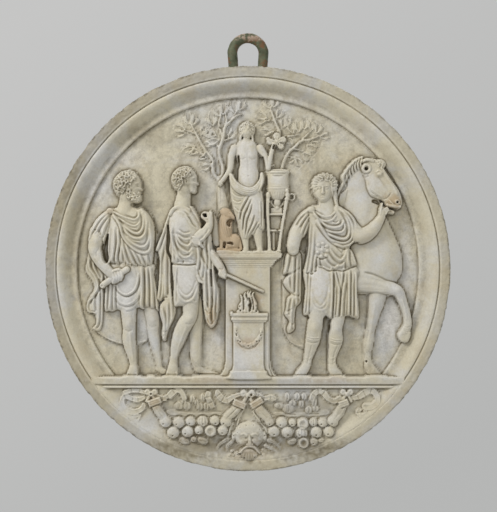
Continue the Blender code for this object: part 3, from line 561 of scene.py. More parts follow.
def carve_elder():
    c = Carving()
    sheet = c.mass([(-200, 86), (-222, 74), (-233, 50), (-238, 18), (-236, -5), (-226, -22), (-222, -36),
        (-228, -48), (-232, -60), (-224, -67), (-224, -79), (-229, -90), (-213, -103), (-186, -113),
        (-150, -108), (-142, -60), (-134, 30), (-138, 62), (-150, 86)], 4, 3, 5)
    strip = c.mass([(-233, 30), (-239, 12), (-241, -3), (-235, -13), (-229, -23), (-229, -32), (-235, -41),
        (-239, -51), (-240, -60), (-236, -66), (-229, -67), (-226, -73), (-226, -83), (-231, -89),
        (-224, -93), (-217, -88), (-214, -60), (-213, -20), (-212, 14), (-220, 26)], 8, 5, 5)
    for width, rise, *run in ((1.9, 3, (-236, 14), (-234, 0), (-225, -14), (-222, -28), (-230, -41),
            (-237, -50)), (1.8, 2.2, (-230, 18), (-227, 0), (-220, -16)),
            (1.6, 2, (-233, -44), (-238, -55), (-235, -65), (-225, -66)),
            (1.7, 1.9, (-228, -38), (-229, -50), (-228, -63)),
            (1.9, 2.6, (-221, -30), (-221, -56), (-222, -78), (-227, -88)),
            (1.7, 2, (-216, -10), (-216, -50), (-217, -86))):
        c.fold(run, width, rise, strip, fade=(0.12, 0.06))
    c.groove([(-229, -41), (-233, -42.5), (-236, -46)], 1.2, 2.6)
    c.groove([(-234, -66), (-228, -66.4), (-225, -70)], 1.2, 2.6)
    c.groove([(-230, -91), (-213, -103), (-186, -112)], 1.3, -1.6, sheet)
    c.groove([(-161, -110), (-149, -107)], 1.2, -1.4, sheet)
    far_leg = c.limb([(-146, -46, 12, 4), (-143, -64, 11, 5), (-141, -78, 10, 5.5), (-141, -92, 9, 4.5),
        (-139, -106, 8.4, 3.5), (-136, -124, 6.4, 2.5), (-132, -142, 5, 2), (-131, -150, 5, 2)])
    c.limb([(-132, -149, 5.5, 2), (-124, -154, 5, 2.5), (-112, -158, 4, 1.5)], flat=0.9)
    c.swell(-141, -77, 5, 6, 1.8, far_leg)
    c.groove([(-147, -84), (-141, -87), (-135, -84)], 1.4, 0.8, far_leg)
    near_leg = c.limb([(-177.5, -50, 12.5, 12), (-176.5, -68, 11, 13), (-176, -82, 9.8, 14.5),
        (-175.5, -90, 9.4, 14), (-176, -102, 9.8, 13), (-175, -114, 9.2, 12.5), (-172, -128, 7, 12),
        (-170, -140, 5.4, 11.5), (-169.5, -147, 5.4, 11)])
    c.swell(-176, -82, 5, 5.5, 2, near_leg)
    c.swell(-181, -104, 4, 12, 1.2, near_leg)
    for wide, depth, *path in ((1.3, 1.1, (-181, -90), (-176, -92.5), (-170.5, -90)),
            (1.8, -1.3, (-173.5, -94), (-172, -114), (-169, -138)),
            (1.8, 0.8, (-170, -62), (-170, -74), (-168, -82))):
        c.groove(path, wide, depth, near_leg)
    c.limb([(-169.5, -145, 6, 11), (-170, -151, 7.4, 12), (-171, -156.5, 8.2, 9)], flat=0.9)
    for k in range(5):
        c.limb([(-177.5 + 3.1 * k, -154.5, 1.8, 16.2), (-179 + 3.6 * k, -159, 1.7, 12.5)], soft=0.4)
    skirt = c.mass([(-208, 8), (-211, -25), (-212, -61), (-206, -63), (-199, -63.5), (-193, -61),
        (-185, -63.5), (-176, -64), (-168, -62.5), (-164, -58.5), (-160, -58), (-155, -60.5), (-149, -57),
        (-143, -59.5), (-137, -59), (-131, -63), (-134, -36), (-139, -10), (-143, 8)], 12, 10, 12)
    c.ball(-179, -25, 16.5, 36, 8, 17.5, soft=7)
    for width, rise, *run in ((1.7, 2.8, (-161.5, -6), (-163, -22), (-168.5, -33), (-179, -38.5),
            (-189.5, -33), (-194, -24)),
            (2, 1.7, (-160.5, -24), (-162, -40), (-169, -49.5), (-179, -53), (-188, -50), (-194, -41)),
            (1.8, 1, (-163, -48), (-170, -58), (-180, -61)),
            (1.8, 2.8, (-209.5, -6), (-209, -34), (-210.5, -61)),
            (2.2, 2.6, (-203, -4), (-203, -34), (-204, -62)),
            (1.7, 3, (-197, -22), (-197.5, -42), (-197, -62)),
            (2.5, 4.6, (-157, 4), (-156.5, -28), (-157.5, -59)),
            (2, 3.4, (-150, 2), (-148.5, -28), (-148.5, -57)),
            (2.1, 3.6, (-144, 0), (-141.5, -28), (-140.5, -59)),
            (1.7, 2.4, (-139.5, -8), (-136.5, -36), (-134, -61))):
        c.fold(run, width, rise, skirt, fade=(0.2, 0.03))
    c.groove([(-159.5, -38), (-160.5, -50), (-160, -58)], 1.1, 1.6, skirt, fade=(0.4, 0.02))
    chest = c.mass([(-205, 82), (-209, 60), (-208, 36), (-208, 20), (-210.5, 9), (-206, 5.5), (-199, 7.5),
        (-193, 4.5), (-186, 7), (-178, 3.5), (-170, 2.5), (-162, 3.5), (-154, 2), (-147, 4), (-141.5, 8),
        (-139, 30), (-138, 50), (-140, 68), (-150, 84), (-164, 90), (-190, 92)], 15, 12, 16)
    c.swell(-176, 48, 26, 34, 3, chest)
    for width, rise, *run in ((1.7, 2.2, (-204, 60), (-206, 34), (-208, 10)),
            (2.2, 3.2, (-197, 62), (-197.5, 36), (-201, 10)),
            (1.9, 3.2, (-192, 58), (-190.5, 38), (-194, 18), (-193.5, 8)),
            (1.5, 1.8, (-190, 46), (-186.5, 26), (-186, 9)),
            (2, 3, (-187, 44), (-183.5, 28), (-179.5, 14), (-176, 6)),
            (1.9, 3.2, (-180, 34), (-173, 19), (-167, 5)), (1.7, 2.2, (-170, 26), (-164, 15), (-160, 5)),
            (1.7, 2.6, (-160, 22), (-156, 12), (-153, 4)), (1.8, 2.6, (-150, 22), (-148, 12), (-146, 5))):
        c.fold(run, width, rise, chest, fade=(0.45, 0.04))
    for x, z in ((-206, 9), (-199, 10), (-192.5, 8.5), (-184, 9.5), (-175, 7), (-166, 6), (-158, 6.5),
            (-150, 6), (-144, 8)):
        c.swell(x, z, 3.2, 3, 1.5, chest)
    for x, z in ((-202.6, 6.5), (-196, 6), (-189.2, 6), (-180, 4.5), (-171, 3), (-162.5, 3.4), (-154, 2.4),
            (-147.5, 4)):
        c.groove([(x + 0.3, z + 5), (x, z)], 0.8, 2.6, fade=(0.5, 0.05))
    cloak = c.mass([(-206, 86), (-199, 74), (-190, 62), (-185, 46), (-176, 34), (-165, 25), (-154, 20.5),
        (-146, 22), (-141, 30), (-138, 46), (-139, 60), (-144, 72), (-152, 85), (-160, 91), (-176, 84),
        (-192, 89)], 17.5, 10, 13)
    for width, rise, *run in ((1.7, 3, (-202, 85), (-188, 78.5), (-176, 74), (-166, 72), (-160.5, 77),
            (-160, 84)), (1.3, 1.8, (-201, 82), (-188, 72.5), (-175, 65), (-165, 63), (-158, 69)),
            (2, 3.4, (-200, 79), (-186, 65), (-171, 54), (-161, 52), (-154, 60), (-153, 74), (-156, 84)),
            (1.2, 1.4, (-182, 66), (-172, 59), (-162, 57.5)),
            (2.2, 3.4, (-193, 70), (-182, 56), (-170, 46), (-158, 45), (-150.5, 53), (-148.5, 68),
            (-151, 82)), (1.3, 1.6, (-178, 48), (-168, 40.5), (-158, 39)),
            (2.1, 3, (-190, 64), (-183, 50), (-172, 38.5), (-159, 32), (-149.5, 34), (-145, 44),
            (-145.5, 60)),
            (2.3, 2.8, (-188.5, 60), (-184.5, 46), (-175.5, 35), (-165, 27), (-154, 23), (-146.5, 25),
            (-142.5, 33), (-141.5, 48), (-145, 66)), (1.8, 2.2, (-156, 88), (-146, 74), (-143, 60))):
        c.fold(run, width, rise, cloak, fade=(0.06, 0.18))
    c.groove([(-200, 77), (-190, 62), (-185.5, 46), (-176.5, 33.5), (-165.5, 24.5), (-154, 20),
        (-145.5, 21.5)], 1.2, 2.2, fade=(0.1, 0.1))
    c.ball(-203.5, 85, 5.5, 5, 4, 25)
    c.groove([(-199, 81), (-204, 80), (-208, 84)], 1.1, 1.4)
    s = 52
    side_head(c, -174, 120, s, 18, 0.4)
    side_beard(c, -174, 120, s, 18, 2)
    c.drill([(-170, 94, 3.4), (-163, 91, 4), (-158, 92, 3)], 16)
    arm = c.limb([(-224, 54, 10.4, 19), (-224.5, 42, 10.4, 20.5), (-226.3, 30, 9.6, 22), (-222, 18, 9, 24),
        (-214, 6, 8.2, 26), (-206, -3, 7.2, 27.5), (-200, -9, 6.4, 28)], soft=1)
    c.swell(-223, 40, 4, 8, 1.6, arm)
    c.swell(-229, 25, 4, 5, 1.2, arm)
    c.groove([(-218, 30), (-222, 24), (-222, 18)], 1.4, 1, arm)
    c.groove([(-226, 18), (-216, 6), (-207, -3)], 2, -0.9, arm)
    sleeve = c.mass([(-203, 88), (-215, 82), (-225, 72), (-232, 58), (-236.5, 41), (-231, 45), (-225, 52),
        (-220, 51), (-215, 43), (-212.5, 33), (-208.5, 36), (-206, 54), (-202, 72)], 19, 11, 10)
    for run in ([(-206, 84), (-219, 72), (-229, 56), (-234, 44)], [(-205, 80), (-215, 68), (-223, 54)],
            [(-204, 76), (-210, 62), (-216, 46)], [(-203, 72), (-207, 56), (-211, 38)]):
        c.fold(run, 1.8, 2.3, sleeve, fade=(0.25, 0.05))
    c.groove([(-236, 42), (-230, 47), (-224.5, 53), (-219.5, 51), (-214.5, 43), (-212, 34)], 1, -1.4,
        sleeve)
    c.groove([(-226, 58), (-222, 55), (-223, 51)], 1, 1.8, sleeve)
    c.drill([(-206.6, 50, 1.2), (-209, 38, 2.6), (-211, 27, 3.8), (-209.5, 16, 3.6), (-208.5, 10, 1.8)], 4)
    roll = c.limb([(-214, -25, 4.4, 28), (-208, -20, 4.4, 28), (-178, -1, 4.4, 30)], soft=0.6)
    c.swell(-214.5, -25.5, 2, 2, -3, roll)
    c.ball(-196, -14, 8.5, 8, 7, 27, turn=30)
    for k in range(4):
        c.limb([(-198 + 3.6 * k, -9 + 2 * k, 2.3, 32), (-196 + 3.7 * k, -15 + 1.6 * k, 2.3, 34),
            (-198 + 3.7 * k, -21 + 1.5 * k, 2.1, 31)], soft=0.5)
    c.limb([(-203, -8, 2.6, 31), (-196, -3, 2.5, 32), (-189, -1, 2.3, 33)], soft=0.6)
    return c


carvings.append(carve_elder())
set_in_marble(relief_piece("bearded_man", carvings[-1]))


# Younger man
# The second standing man, his head in profile, cut with his cloak hanging behind and thrown over his
# forearm; one hand is raised and the other holds a staff out to the altar, all of the same block.
def carve_youth():
    c = Carving()
    far_leg = c.limb([(-78, -48, 11, 3), (-77, -72, 10.4, 4), (-77, -92, 9.6, 4), (-78, -112, 9.4, 3),
        (-77.5, -130, 8.6, 2.5), (-76, -144, 6.6, 2), (-74, -150, 6, 2)])
    c.swell(-79, -80, 5, 6, 1.4, far_leg)
    c.groove([(-70, -84), (-70, -110), (-71, -138)], 2, -0.9, far_leg)
    c.limb([(-75, -149, 6, 2), (-64, -154, 5, 2.5), (-46, -158.5, 3.6, 1.5)], flat=0.9)
    cloak = c.mass([(-112, 88), (-119, 78), (-125, 60), (-132, 34), (-134, 26), (-131, 12), (-132, -14),
        (-134, -34), (-137, -47), (-130, -49.5), (-124, -46), (-131, -55), (-131, -68), (-127, -82),
        (-128, -94), (-127, -105), (-123, -108.5), (-119.5, -103), (-118, -93), (-110, -84), (-106.5, -73),
        (-107, -57), (-108, -30), (-107, 0), (-104, 60)], 11, 8, 8)
    flap = c.mass([(-112, 88), (-119, 77), (-126, 56), (-136.5, 30), (-135, 25), (-129, 31), (-123, 47),
        (-117, 66)], 15, 6, 5)
    c.fold([(-114, 84), (-122, 62), (-133, 29)], 1.9, 2.2, flap)
    for width, rise, *run in ((2, 2.8, (-121, 52), (-125, 34), (-130, 10), (-130, -16), (-133, -46)),
            (2.4, 3.2, (-118, 60), (-121, 30), (-122, -4), (-122.5, -40)),
            (1.9, 2.6, (-115.5, 56), (-115.5, 20), (-115, -20), (-113, -56), (-111, -80)),
            (1.5, 1.8, (-126, -8), (-126.5, -34), (-129, -47)),
            (2, 2.8, (-128, -58), (-124, -74), (-124, -92), (-124, -106)),
            (1.8, 2.2, (-119, -50), (-119, -74), (-121, -98))):
        c.fold(run, width, rise, cloak, fade=(0.2, 0.04))
    for wide, depth, *path in ((1.3, 2.8, (-136, -46), (-130, -48), (-124, -43), (-118, -42)),
            (1.3, 2.6, (-128, -92), (-123, -93.5), (-118.5, -92)), (1.1, 1.8, (-128, -99), (-123.5, -100))):
        c.groove(path, wide, depth, cloak)
    c.drill([(-118, 64, 1.4), (-117.6, 44, 2.6), (-118.4, 26, 2.2), (-113, 12, 2), (-112, -14, 2.6),
        (-111, -40, 1.6)], 7)
    c.drill([(-101, -60, 5), (-102.5, -68, 5), (-107, -78, 3.6), (-114, -92, 3.6), (-118, -106, 3.2),
        (-119.5, -118, 2)], 2.5, sharp=2)
    near_leg = c.limb([(-85, -46, 12.5, 12), (-85, -60, 11.6, 13), (-86.5, -72, 11, 15),
        (-93, -82, 11.4, 15), (-99, -94, 11, 13.5), (-103, -106, 10, 13), (-107, -118, 7.8, 12),
        (-109.5, -130, 5.8, 11), (-111, -142, 5.8, 10)])
    c.swell(-85, -73, 6, 6, 2.4, near_leg)
    c.groove([(-92, -80), (-87, -82), (-79, -78)], 1.4, 1, near_leg)
    c.groove([(-90, -86), (-99, -108), (-107, -134)], 2, -1.3, near_leg)
    c.swell(-106, -100, 4, 12, 1, near_leg)
    c.limb([(-111, -141, 6.2, 10.5), (-111.5, -149, 8, 11.5), (-112.5, -155.5, 9, 9)], flat=0.9)
    for k in range(5):
        c.limb([(-119 + 3.3 * k, -154, 1.9, 16.4), (-120.5 + 3.7 * k, -159.2, 1.9, 12.5)], soft=0.4)
    skirt = c.mass([(-109.5, 10), (-110, -20), (-109.5, -54), (-101, -55.8), (-90, -56.5), (-80, -55.5),
        (-74, -52.5), (-71.5, -28), (-73, 10)], 15, 11, 13)
    c.ball(-91.5, -22, 14, 25, 6, 17.5, soft=7)
    for width, rise, *run in ((2, 1.9, (-108.4, -14), (-103.5, -36), (-93, -48.5), (-80.5, -44),
            (-72.2, -25)), (1.8, 1.2, (-107, -18), (-99.5, -35.5), (-89, -41), (-79.5, -33), (-74, -18)),
            (1.5, 1.6, (-105.5, 3), (-107.4, -22), (-108, -52)),
            (1.6, 1.4, (-75, 2), (-73.6, -18), (-74, -50)), (1.6, 1, (-82, -47), (-78, -50), (-75, -48))):
        c.fold(run, width, rise, skirt, fade=(0.2, 0.12))
    chest = c.mass([(-114, 85), (-117, 66), (-114, 40), (-113, 18), (-113, 9), (-106, 6), (-99, 7.4),
        (-90, 5.6), (-82, 6), (-75.5, 7.4), (-72, 24), (-68, 44), (-67, 59), (-70, 71), (-76.5, 84),
        (-83, 93), (-98, 92)], 16, 10, 15)
    c.swell(-98, 68, 13, 17, 3.2, chest)
    for width, rise, *run in ((2.8, 3, (-112, 86), (-103, 88.5), (-94, 87), (-86, 81), (-78, 70),
            (-71, 58)), (1.5, 2, (-93, 79), (-87.5, 72), (-83, 64), (-77, 58)),
            (1.7, 2.2, (-84, 88), (-76.5, 78), (-70, 66)), (1.3, 1.4, (-104, 84), (-95, 82), (-87, 76)),
            (1.6, 1.9, (-103, 56), (-94, 50.5), (-84, 52)), (1.8, 2.3, (-106, 50), (-94, 43.5), (-84, 44)),
            (1.9, 3, (-109, 52), (-99, 38), (-89, 33.5), (-84, 37), (-83, 42)),
            (2, 3, (-111, 52), (-104, 35), (-93, 25.5), (-86, 24), (-81, 31)),
            (1.9, 2.6, (-112, 48), (-107, 30), (-97, 17.5), (-87, 17.5), (-80, 25)),
            (2.2, 3.4, (-113.5, 60), (-110.5, 36), (-104, 18), (-97.5, 10)),
            (2, 2.8, (-115, 56), (-112.4, 34), (-110.5, 10)), (1.5, 2, (-110, 26), (-104, 10)),
            (1.7, 1.5, (-86, 12), (-79, 9))):
        c.fold(run, width, rise, chest, fade=(0.2, 0.15))
    c.groove([(-113, 6.4), (-100, 5.8), (-88, 5), (-75, 6.6)], 1.3, 4.6, fade=(0.05, 0.05))
    c.groove([(-95, 12), (-95.6, 7)], 1, 3)
    c.limb([(-97, 84, 12, 16), (-95, 97, 9.6, 16), (-94, 108, 9.6, 16)], soft=2)
    c.limb([(-115, 80, 3, 24), (-109, 88.5, 3, 25), (-98, 91, 3, 25.5), (-87, 86.5, 2.8, 25)], flat=0.8,
        soft=2)
    side_head(c, -90, 128, 48, 18, 1.3)
    c.curls(-80, 108.6, 7, 4, 2.8, 1.2, None, turn=-28, seed=3)
    c.drill([(-83, 98, 1.6), (-79, 96.6, 2.4), (-75, 98, 1.4)], 13)
    c.limb([(-56, 80, 6, 8), (-50, 60, 8, 8), (-46, 38, 6, 7)], soft=3)
    arm = c.limb([(-76, 40, 8.4, 24), (-69, 49, 8.6, 25), (-61, 57, 7.4, 26), (-57, 65, 5.6, 27),
        (-56, 71, 4.6, 27)], soft=2)
    c.fold([(-78, 49), (-70, 57), (-62, 62)], 1.6, 1.2, arm)
    c.fold([(-70, 40), (-61, 48), (-55, 58)], 1.6, 1.4, arm)
    for soft, *path in ((1, (-57, 68, 4.6, 27), (-56, 75, 4.4, 28), (-58, 80, 3.2, 28.5)),
            (0.5, (-59, 69, 2.2, 30), (-63.5, 72, 2, 31), (-68, 76.4, 1.9, 31)),
            (0.5, (-60, 74, 2, 30.5), (-65, 75, 1.8, 31), (-68, 79.4, 1.7, 31)),
            (0.5, (-58, 80, 2.1, 30), (-62.5, 82.6, 1.9, 30.5), (-66.6, 81.6, 1.7, 30.5)),
            (0.5, (-55, 76, 2.1, 29.5), (-53.6, 81, 1.8, 29.5), (-55.4, 84.6, 1.6, 29.5))):
        c.limb(path, soft=soft)
    c.drill([(-63.6, 78.4, 1.5)], 16)
    c.drill([(-69, 72, 1.4), (-66.4, 67.4, 2.8), (-68, 61, 1.6)], 9)
    bunch = c.ball(-75.5, 41, 7.4, 9.6, 9, 23, turn=-18, soft=2)
    for k in range(4):
        c.limb([(-81 + 1.7 * k, 46.5 - 3 * k, 1.8, 31), (-75.5 + 1.9 * k, 45 - 3.4 * k, 1.8, 32),
            (-71 + 1.6 * k, 41.5 - 3.4 * k, 1.6, 30.5)], soft=0.4)
    c.groove([(-82, 38), (-77, 31.5), (-72, 30)], 1.2, 2.2, bunch)
    hanging = c.mass([(-79, 42), (-79, 30), (-77, 16), (-77.5, 2), (-74.5, -6), (-72, -17), (-68, -21),
        (-67.2, -34), (-66.6, -48), (-65, -63.5), (-61.4, -79.5), (-54.6, -88.5), (-48, -83.5), (-45, -73),
        (-42.4, -58), (-42.4, -34), (-46.6, -19), (-49, -4), (-50, 14), (-52.5, 34), (-55, 54), (-62, 60),
        (-72, 52)], 17, 8, 7)
    for width, rise, *run in ((2, 3, (-75, 34), (-73, 14), (-75, -2)),
            (2.1, 3.2, (-70, 40), (-71.5, 20), (-67, 6), (-69.6, -14)),
            (2.2, 3.2, (-62, 52), (-65, 34), (-62, 14), (-64, -8), (-63.5, -34), (-62, -58)),
            (1.5, 1.8, (-66, 10), (-62, 2), (-58, -8)),
            (2.2, 3.4, (-57, 44), (-57, 16), (-57.5, -14), (-56, -42), (-57.5, -66), (-56, -84)),
            (2, 3, (-52.5, 24), (-51.5, -4), (-49, -30), (-50.5, -56), (-50, -80)),
            (1.7, 2.6, (-47.5, -20), (-45, -40), (-45.4, -66))):
        c.fold(run, width, rise, hanging, fade=(0.15, 0.05))
    c.drill([(-54.6, -2, 1.2), (-54, -14, 1.6), (-53.6, -26, 1)], 14)
    c.limb([(-74, -11, 2.4, 24), (-70.5, -18.5, 2.6, 24.5), (-65, -20, 2.2, 24), (-63.6, -14, 1.8, 23.5)],
        soft=0.6)
    for run in ([(-64, -46), (-60, -52), (-57.4, -61), (-59, -64)], [(-63, -60), (-58, -65.5), (-54, -64)],
            [(-54, -40), (-51, -50), (-52.6, -58)], [(-61, -74), (-55, -81.5), (-49, -76)]):
        c.groove(run, 1.2, 2.4, hanging)
    c.swell(-55, -73, 4.4, 7, -2, hanging)
    forearm = c.limb([(-54, 22, 7, 20), (-47, 12, 6.8, 21.5), (-41, 3, 6.2, 23.5), (-37, -5, 5.4, 25)],
        soft=1.5)
    c.fold([(-53, 24), (-44, 14), (-37, 4)], 1.6, 1.4, forearm)
    c.groove([(-43, 0), (-38, -1), (-33, 3)], 1.2, 1.3, forearm)
    c.ball(-37, -9, 6.6, 5.6, 6, 25, turn=-30)
    for k in range(4):
        c.limb([(-40.6 + 2.5 * k, -4.6 - 1.2 * k, 1.9, 29), (-42.4 + 2.5 * k, -8 - 1.1 * k, 1.8, 29.6),
            (-41 + 2.5 * k, -11.6 - k, 1.6, 28)], soft=0.4)
    staff = c.limb([(-36, -7, 2.2, 27), (22, -34, 2.2, 19)], fine=1, soft=0.6)
    c.swell(22, -34, 2, 2, -1.5, staff)
    return c


carvings.append(carve_youth())
set_in_marble(relief_piece("younger_man", carvings[-1]))


# Attendant
# The youth at the right, seen from the front, in a belted tunic, short cloak and boots, his near
# forearm broken off at the wrist and the other hand under the horse's jaw, of the same block.
def carve_attendant():
    c = Carving()
    c.mass([(52, 20), (51, -30), (52, -84), (56, -100), (64, -111), (74, -116), (86, -117), (92, -70),
        (86, 20)], 3, 2.5, 4)
    c.groove([(53, -86), (58, -103), (70, -113), (85, -116)], 1.5, -1.6)
    left = c.limb([(103, -56, 13.5, 12), (101.5, -74, 12.4, 14), (98.5, -90, 11.4, 15),
        (96.5, -104, 11, 13.5), (93, -118, 8.8, 12), (89.5, -132, 6.6, 11), (87, -144, 6.2, 10.5)])
    right = c.limb([(135, -58, 11, 13), (133.5, -74, 10, 14), (130, -90, 9.8, 15.5), (130, -104, 11, 14.5),
        (128.5, -115, 9.2, 13), (126, -126, 7, 12), (124.5, -138, 6, 11), (125.5, -147, 6.2, 10.5)])
    c.swell(97, -88, 6, 6.5, 2.2, left)
    c.swell(129, -90, 5.5, 6, 1.8, right)
    for x, z, leg in ((96, -104.5, left), (130.5, -107, right)):
        for lift in (0, 3.2):
            c.groove([(x - 11, z + lift + 2), (x, z + lift - 1), (x + 12, z + lift)], 0.9, -1.7, leg,
                fade=(0.02, 0.02))
        c.groove([(x - 10, z - 2.6), (x, z - 5.2), (x + 10, z - 2.6)], 1, 1.4, leg)
    for wide, cut, over, *path in ((1.2, 1.1, left, (94, -112), (90, -130), (87, -144)),
            (1.3, 1.2, right, (133, -112), (127.5, -126), (125.5, -144)),
            (1.8, -0.9, left, (106, -92), (103, -112), (96, -130))):
        c.groove(path, wide, cut, over)
    for k in range(3):
        c.groove([(84 + k, -130 - 6 * k), (90, -133 - 6 * k), (96, -129 - 6 * k)], 0.9, -0.8, left)
        c.groove([(118, -130 - 6 * k), (124, -133 - 6 * k), (131, -129 - 6 * k)], 0.9, -0.8, right)
    c.limb([(87, -143, 6.6, 11), (83, -150, 7.4, 11.5), (77, -157, 7.2, 8.5)], flat=0.9)
    c.limb([(125, -144, 6.8, 11), (127, -151, 7.8, 11.5), (133, -157, 7.4, 8.5)], flat=0.9)
    c.drill([(116, -74, 4), (116.4, -86, 5.4), (114, -100, 4), (110, -114, 3), (106, -124, 2)], 2.5,
        sharp=2)
    c.drill([(85.5, -70.4, 3), (88.5, -73, 2.4)], 4)
    skirt = c.mass([(87, 4), (85, -30), (82, -66), (88, -69), (96, -67), (105, -67), (116, -71), (121, -75),
        (127, -73), (133, -71), (140, -73), (148, -70), (156, -73), (165, -72), (162, -36), (160, 4)], 14,
        10, 12)
    c.ball(106, -34, 16.5, 42, 8, 18, soft=7)
    c.swell(106, -24, 12, 26, 1.5, skirt)
    for width, rise, *run in ((1.8, 2.8, (86, 0), (85, -34), (82.5, -66)),
            (1.6, 2.2, (90.5, -10), (88.6, -40), (87.5, -67)),
            (1.9, 3.6, (123.5, 2), (124, -34), (121.5, -73)),
            (1.5, 2.4, (127, -2), (130, -14), (133.5, -28), (134, -36)),
            (1.8, 3.2, (139, -2), (137.5, -16), (135, -32), (133, -52), (131, -71)),
            (1.4, 2, (128, -26), (128, -48), (126.5, -72)), (2.2, 2.8, (142, -20), (139, -46), (138, -71)),
            (1.6, 3.2, (149.5, -2), (149, -36), (148.5, -70)),
            (1.2, 1.6, (153.5, -20), (154, -46), (154, -71)), (2, 3.4, (159, -4), (160, -36), (161, -71)),
            (1.2, 2, (163, -30), (164, -70))):
        c.fold(run, width, rise, skirt, fade=(0.12, 0.02))
    for x, width, rise in ((125.8, 0.9, 2.4), (136.2, 0.9, 2), (146, 0.8, 2), (157, 0.8, 2.2)):
        c.groove([(x, -8), (x + 0.3, -38), (x - 0.4, -70)], width, rise, skirt, fade=(0.15, 0.02))
    for depth in (0, 9):
        c.fold([(91, -26 - depth), (96, -46 - depth), (107, -57 - depth * 0.5), (117, -46 - depth),
            (121.5, -22 - depth)], 1.9, 1, skirt, fade=(0.3, 0.3))
    chest = c.mass([(82, 82), (87, 60), (89, 36), (86, 14), (82, -6), (86, -10), (93, -9), (99, -5),
        (104, 2), (111, 1), (119, -3), (127, -4), (138, -3), (148, 0), (157, 2), (161, 6), (156, 22),
        (150, 36), (156, 52), (154, 74), (140, 90), (126, 94), (104, 94), (92, 92)], 16, 11, 17)
    c.swell(118, 52, 24, 30, 3.2, chest)
    for width, rise, *run in ((1.8, 2.4, (92, 66), (90, 40), (87, 14), (84, -7)),
            (2, 2.4, (96, 56), (95, 30), (92, 6), (90, -8)), (1.8, 2.6, (99, 20), (97.5, 6), (97, -5)),
            (1.6, 2.2, (103.5, 18), (104, 6), (108, 0)), (2, 2.4, (112, 16), (117, 7), (126, 1), (134, 4)),
            (2, 2.8, (116, 22), (125, 10), (135, 4), (143, 8)),
            (1.9, 2.8, (120, 28), (129, 17), (137, 12.5), (143, 20), (146, 31)),
            (1.4, 1.8, (127, 32), (134, 24), (139, 21), (143, 28)),
            (1.8, 3.2, (148, 31), (147, 16), (149, 2)), (2, 3, (150, 34), (155.5, 20), (160, 6)),
            (1.4, 2.2, (141, 10), (141, 2), (142.5, -2)), (1.3, 1.8, (124, 3), (121, -3))):
        c.fold(run, width, rise, chest, fade=(0.3, 0.06))
    c.groove([(103, 3), (112, 0), (119, -3.6), (130, -2.6), (140, -3.8), (152, 1), (161, 4.4)], 1.2, 3.4,
        fade=(0.08, 0.05))
    for x, z in ((88, -6), (94, -7), (99, -3)):
        c.groove([(x - 2.4, z), (x, z - 1.4), (x + 2.4, z + 0.4)], 1.1, 3.2)
    cloak = c.mass([(90, 91), (92, 80), (99, 68), (108, 54), (118, 42), (128, 34.5), (141, 30), (151, 32.5),
        (157, 39), (162.5, 52), (161, 67), (154, 79), (143, 88), (130, 94), (121, 88), (106, 84)], 20, 9,
        12)
    for width, rise, *run in ((1.7, 2.6, (94, 87), (103, 80), (113, 76.5), (122, 78), (129, 84)),
            (1.6, 2.8, (95, 84), (105, 73.5), (114, 69.5), (124, 72), (130, 79)),
            (1.9, 3.2, (96, 81), (108, 67.5), (119, 61.5), (130, 60.5), (138, 64), (141, 72)),
            (1.2, 1.8, (124, 67.5), (130, 66), (134.5, 69)),
            (1.6, 2.6, (108, 61), (117, 55.5), (127, 53), (137, 53.5), (142, 58), (143, 66)),
            (2.1, 3.6, (100, 72), (114, 53), (127, 46.5), (140, 43.5), (147, 47), (149.6, 57), (148, 68),
            (142.5, 80), (136, 88)),
            (1.9, 3.6, (104, 66), (116, 47), (128, 39.5), (141, 37), (150.5, 41.5), (154.5, 52),
            (153, 65.5), (147.5, 77), (140, 86)),
            (1.9, 3.2, (126, 36), (140, 32.5), (151.5, 36), (158, 45), (160.5, 55), (158.5, 67),
            (151.5, 79), (143, 87))):
        c.fold(run, width, rise, cloak, fade=(0.06, 0.1))
    c.groove([(99, 66), (109, 51.5), (119, 40), (129, 32.8), (141, 28.6), (151, 30.5)], 1.1, 2.2,
        fade=(0.1, 0.1))
    c.ball(93, 87, 5.5, 5, 4, 26)
    c.ball(109, 28, 8, 10, 6, 24, turn=12)
    for x, z, r in ((104, 34.5, 3.4), (110.5, 37, 3.2), (116, 33, 3.2), (117, 26, 3), (115, 19.5, 3),
            (107.5, 18, 3.2), (102.5, 24, 3), (109, 27.5, 3.6)):
        c.ball(x, z, r, r * 0.9, 3, 28.5, soft=0.6)
    for holes in ([(106.6, 31, 0.9)], [(112.8, 30.6, 0.9)], [(112, 23, 0.9)]):
        c.drill(holes, 26)
    c.groove([(101, 17), (108, 13.6), (116, 16.4)], 1.1, 2.6)
    middle = 17
    s = 44
    hx, hz = 112, 116
    c.limb([(119, 78, 13, middle), (117, 90, 11.5, middle), (115, 102, 11, middle)], soft=2)
    c.ball(hx + 1, hz + 3, 0.4 * s, 0.47 * s, 0.36 * s, middle)
    face = c.mass(scaled(hx, hz, s, (-0.29, 0.2), (-0.31, 0.05), (-0.3, -0.08), (-0.27, -0.22),
        (-0.18, -0.35), (-0.08, -0.42), (0.04, -0.42), (0.15, -0.34), (0.22, -0.2), (0.25, -0.02),
        (0.24, 0.2), (0.1, 0.3), (-0.14, 0.3)), middle + 8, 0.2 * s, 0.2 * s)
    fx = hx - 0.05 * s
    c.limb([(fx, hz + 0.1 * s, 0.028 * s, middle + 17.6),
        (fx - 0.005 * s, hz - 0.04 * s, 0.04 * s, middle + 18.6),
        (fx - 0.005 * s, hz - 0.1 * s, 0.055 * s, middle + 18.2)], soft=1)
    for side, reach in ((-1, 0.115), (1, 0.13)):
        ex = fx + side * reach * s
        c.swell(ex, hz + 0.045 * s, 0.06 * s, 0.04 * s, -0.05 * s, face)
        c.ball(ex, hz + 0.04 * s, 0.045 * s, 0.026 * s, 0.03 * s, middle + 0.36 * s, soft=0.3)
